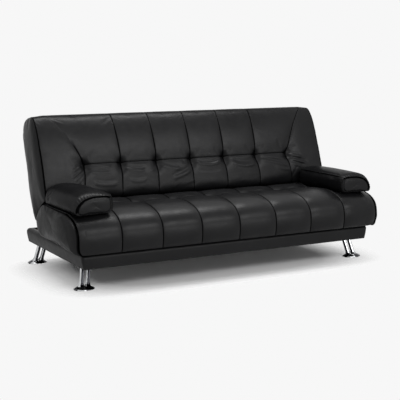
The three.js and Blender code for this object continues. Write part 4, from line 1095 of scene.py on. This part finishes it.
# Each softbox's bearings in degrees, its distance, its size and its power
softboxes = {
    "overhead_softbox": (180, 84, 3.6, (3.8, 1.2), 120),
    "front_softbox": (13, 33, 5.0, (4.2, 1.4), 88),
    "low_front_softbox": (12, 8, 5.0, (4.2, 0.6), 45),
}


def aimed(obj, azimuth, elevation, distance, target):
    """Aims an object at its target from a distance, on bearings in degrees round from the front and up."""
    azimuth, elevation = math.radians(azimuth), math.radians(elevation)
    towards = Vector((math.sin(azimuth) * math.cos(elevation), -math.cos(azimuth) * math.cos(elevation),
                      math.sin(elevation)))
    obj.location = target + towards * distance
    obj.rotation_mode = "QUATERNION"
    obj.rotation_quaternion = (-towards).to_track_quat("-Z", "Y")
    bpy.context.scene.collection.objects.link(obj)
    return obj


def add_camera():
    data = bpy.data.cameras.new("photo_view")
    data.sensor_width = 36
    data.lens = camera_focal_px / frame_px * data.sensor_width
    camera = bpy.data.objects.new("photo_view", data)
    bpy.context.scene.camera = aimed(camera, *camera_bearings, camera_distance, camera_target)


def studio():
    world = bpy.data.worlds.new("studio")
    bpy.context.scene.world = world
    world.use_nodes = True
    tree = world.node_tree
    path = add(tree, "LightPath").outputs
    shown = path["Is Camera Ray"]
    for kind in ("Is Glossy Ray", "Is Transmission Ray"):
        shown = maths(tree, "MAXIMUM", shown, path[kind])
    strength = ranged(tree, shown, fill_strength, backdrop_strength, 0, 1)
    filled(tree, tree.nodes["Background"], Color=(1, 1, 1, 1), Strength=strength)
    for name, (azimuth, elevation, distance, size, power) in softboxes.items():
        data = bpy.data.lights.new(name, "AREA")
        data.shape = "RECTANGLE"
        data.size, data.size_y = size
        data.energy = power
        aimed(bpy.data.objects.new(name, data), azimuth, elevation, distance, softbox_target)
    bpy.context.scene.view_settings.view_transform = "Standard"


def floor():
    bm = bmesh.new()
    bmesh.ops.create_circle(bm, cap_ends=True, segments=96, radius=7.0)
    plane = from_bmesh("studio_floor", bm)
    material, tree, shader, place = material_nodes("floor_finish")
    filled(tree, shader, Base_Color=(0.9, 0.9, 0.9, 1), Roughness=0.9, Specular_IOR_Level=0.1)
    shares = add(tree, "Mapping", Vector=place, Scale=(1 / floor_reach[0], 1 / floor_reach[1], 1))
    shares = shares.outputs["Vector"]
    squares = maths(tree, "MULTIPLY", shares, shares, kind="VectorMath")
    reach = maths(tree, "LENGTH", squares, kind="VectorMath")
    see_through = add(tree, "BsdfTransparent")
    mix = add(tree, "MixShader", Fac=ranged(tree, reach, 0, 1, *floor_fade))
    feed(tree, mix.inputs[1], shader.outputs["BSDF"])
    feed(tree, mix.inputs[2], see_through.outputs["BSDF"])
    filled(tree, tree.nodes["Material Output"], Surface=mix.outputs["Shader"])
    plane.data.materials.append(material)


# The sofa

add_camera()
studio()
floor()
plain_leather = leather("black_leather_finish", plain_grazing, stitched=False)
# The three stitched leathers below carry painted shade along their seams.
stitched_seam_shaded_leather = leather("black_leather_stitched_seam_shaded", stitched_grazing)
seat_leather = leather("black_leather_seat", seat_grazing)
end_leather = leather("black_leather_back_end", end_grazing)
# Chrome with painted reflections in its colour.
bright = metal("chrome_painted_reflection", chrome_painted_reflection_colours, (0.03, 0.09), 60, reflection_streaked=True)
node_finishes = {
    "black_leather": plain_leather,
    "chrome": bright,
    "pine": wood("pine_finish", (0.5, 0.33, 0.17), (0.7, 0.52, 0.32), 30),
    "plywood": wood("plywood_finish", (0.42, 0.29, 0.16), (0.58, 0.43, 0.27), 55),
    "black_cloth": dull("black_cloth_finish", (0.012,) * 3, (0.03,) * 3, 0.95, 900, 4, 0.5, 0.0004),
    "zinc_steel": metal("zinc_steel_finish", zinc_colours, (0.28, 0.42), 90),
    "black_plastic": dull("black_plastic_finish", (0.018,) * 3, (0.03,) * 3, 0.55, 700, 3, 0.25, 0.0002),
}
seat(seat_leather, stitched_seam_shaded_leather)
back(plain_leather, stitched_seam_shaded_leather, end_leather)
arms(plain_leather, stitched_seam_shaded_leather)
for side in ("front", "rear", "left", "right"):
    base_cover(side, plain_leather)
for corner in ("front_left", "front_right", "rear_left", "rear_right"):
    leg(corner, bright)
for side in ("left", "right"):
    leaf_spring(side, node_finishes["zinc_steel"])
slots = {part["node"]: part["material_slot"] for part in frame["record"]["subparts"]}
for node_name, node in frame["nodes"].items():
    node.data.materials.clear()
    node.data.materials.append(node_finishes[slots[node_name]])
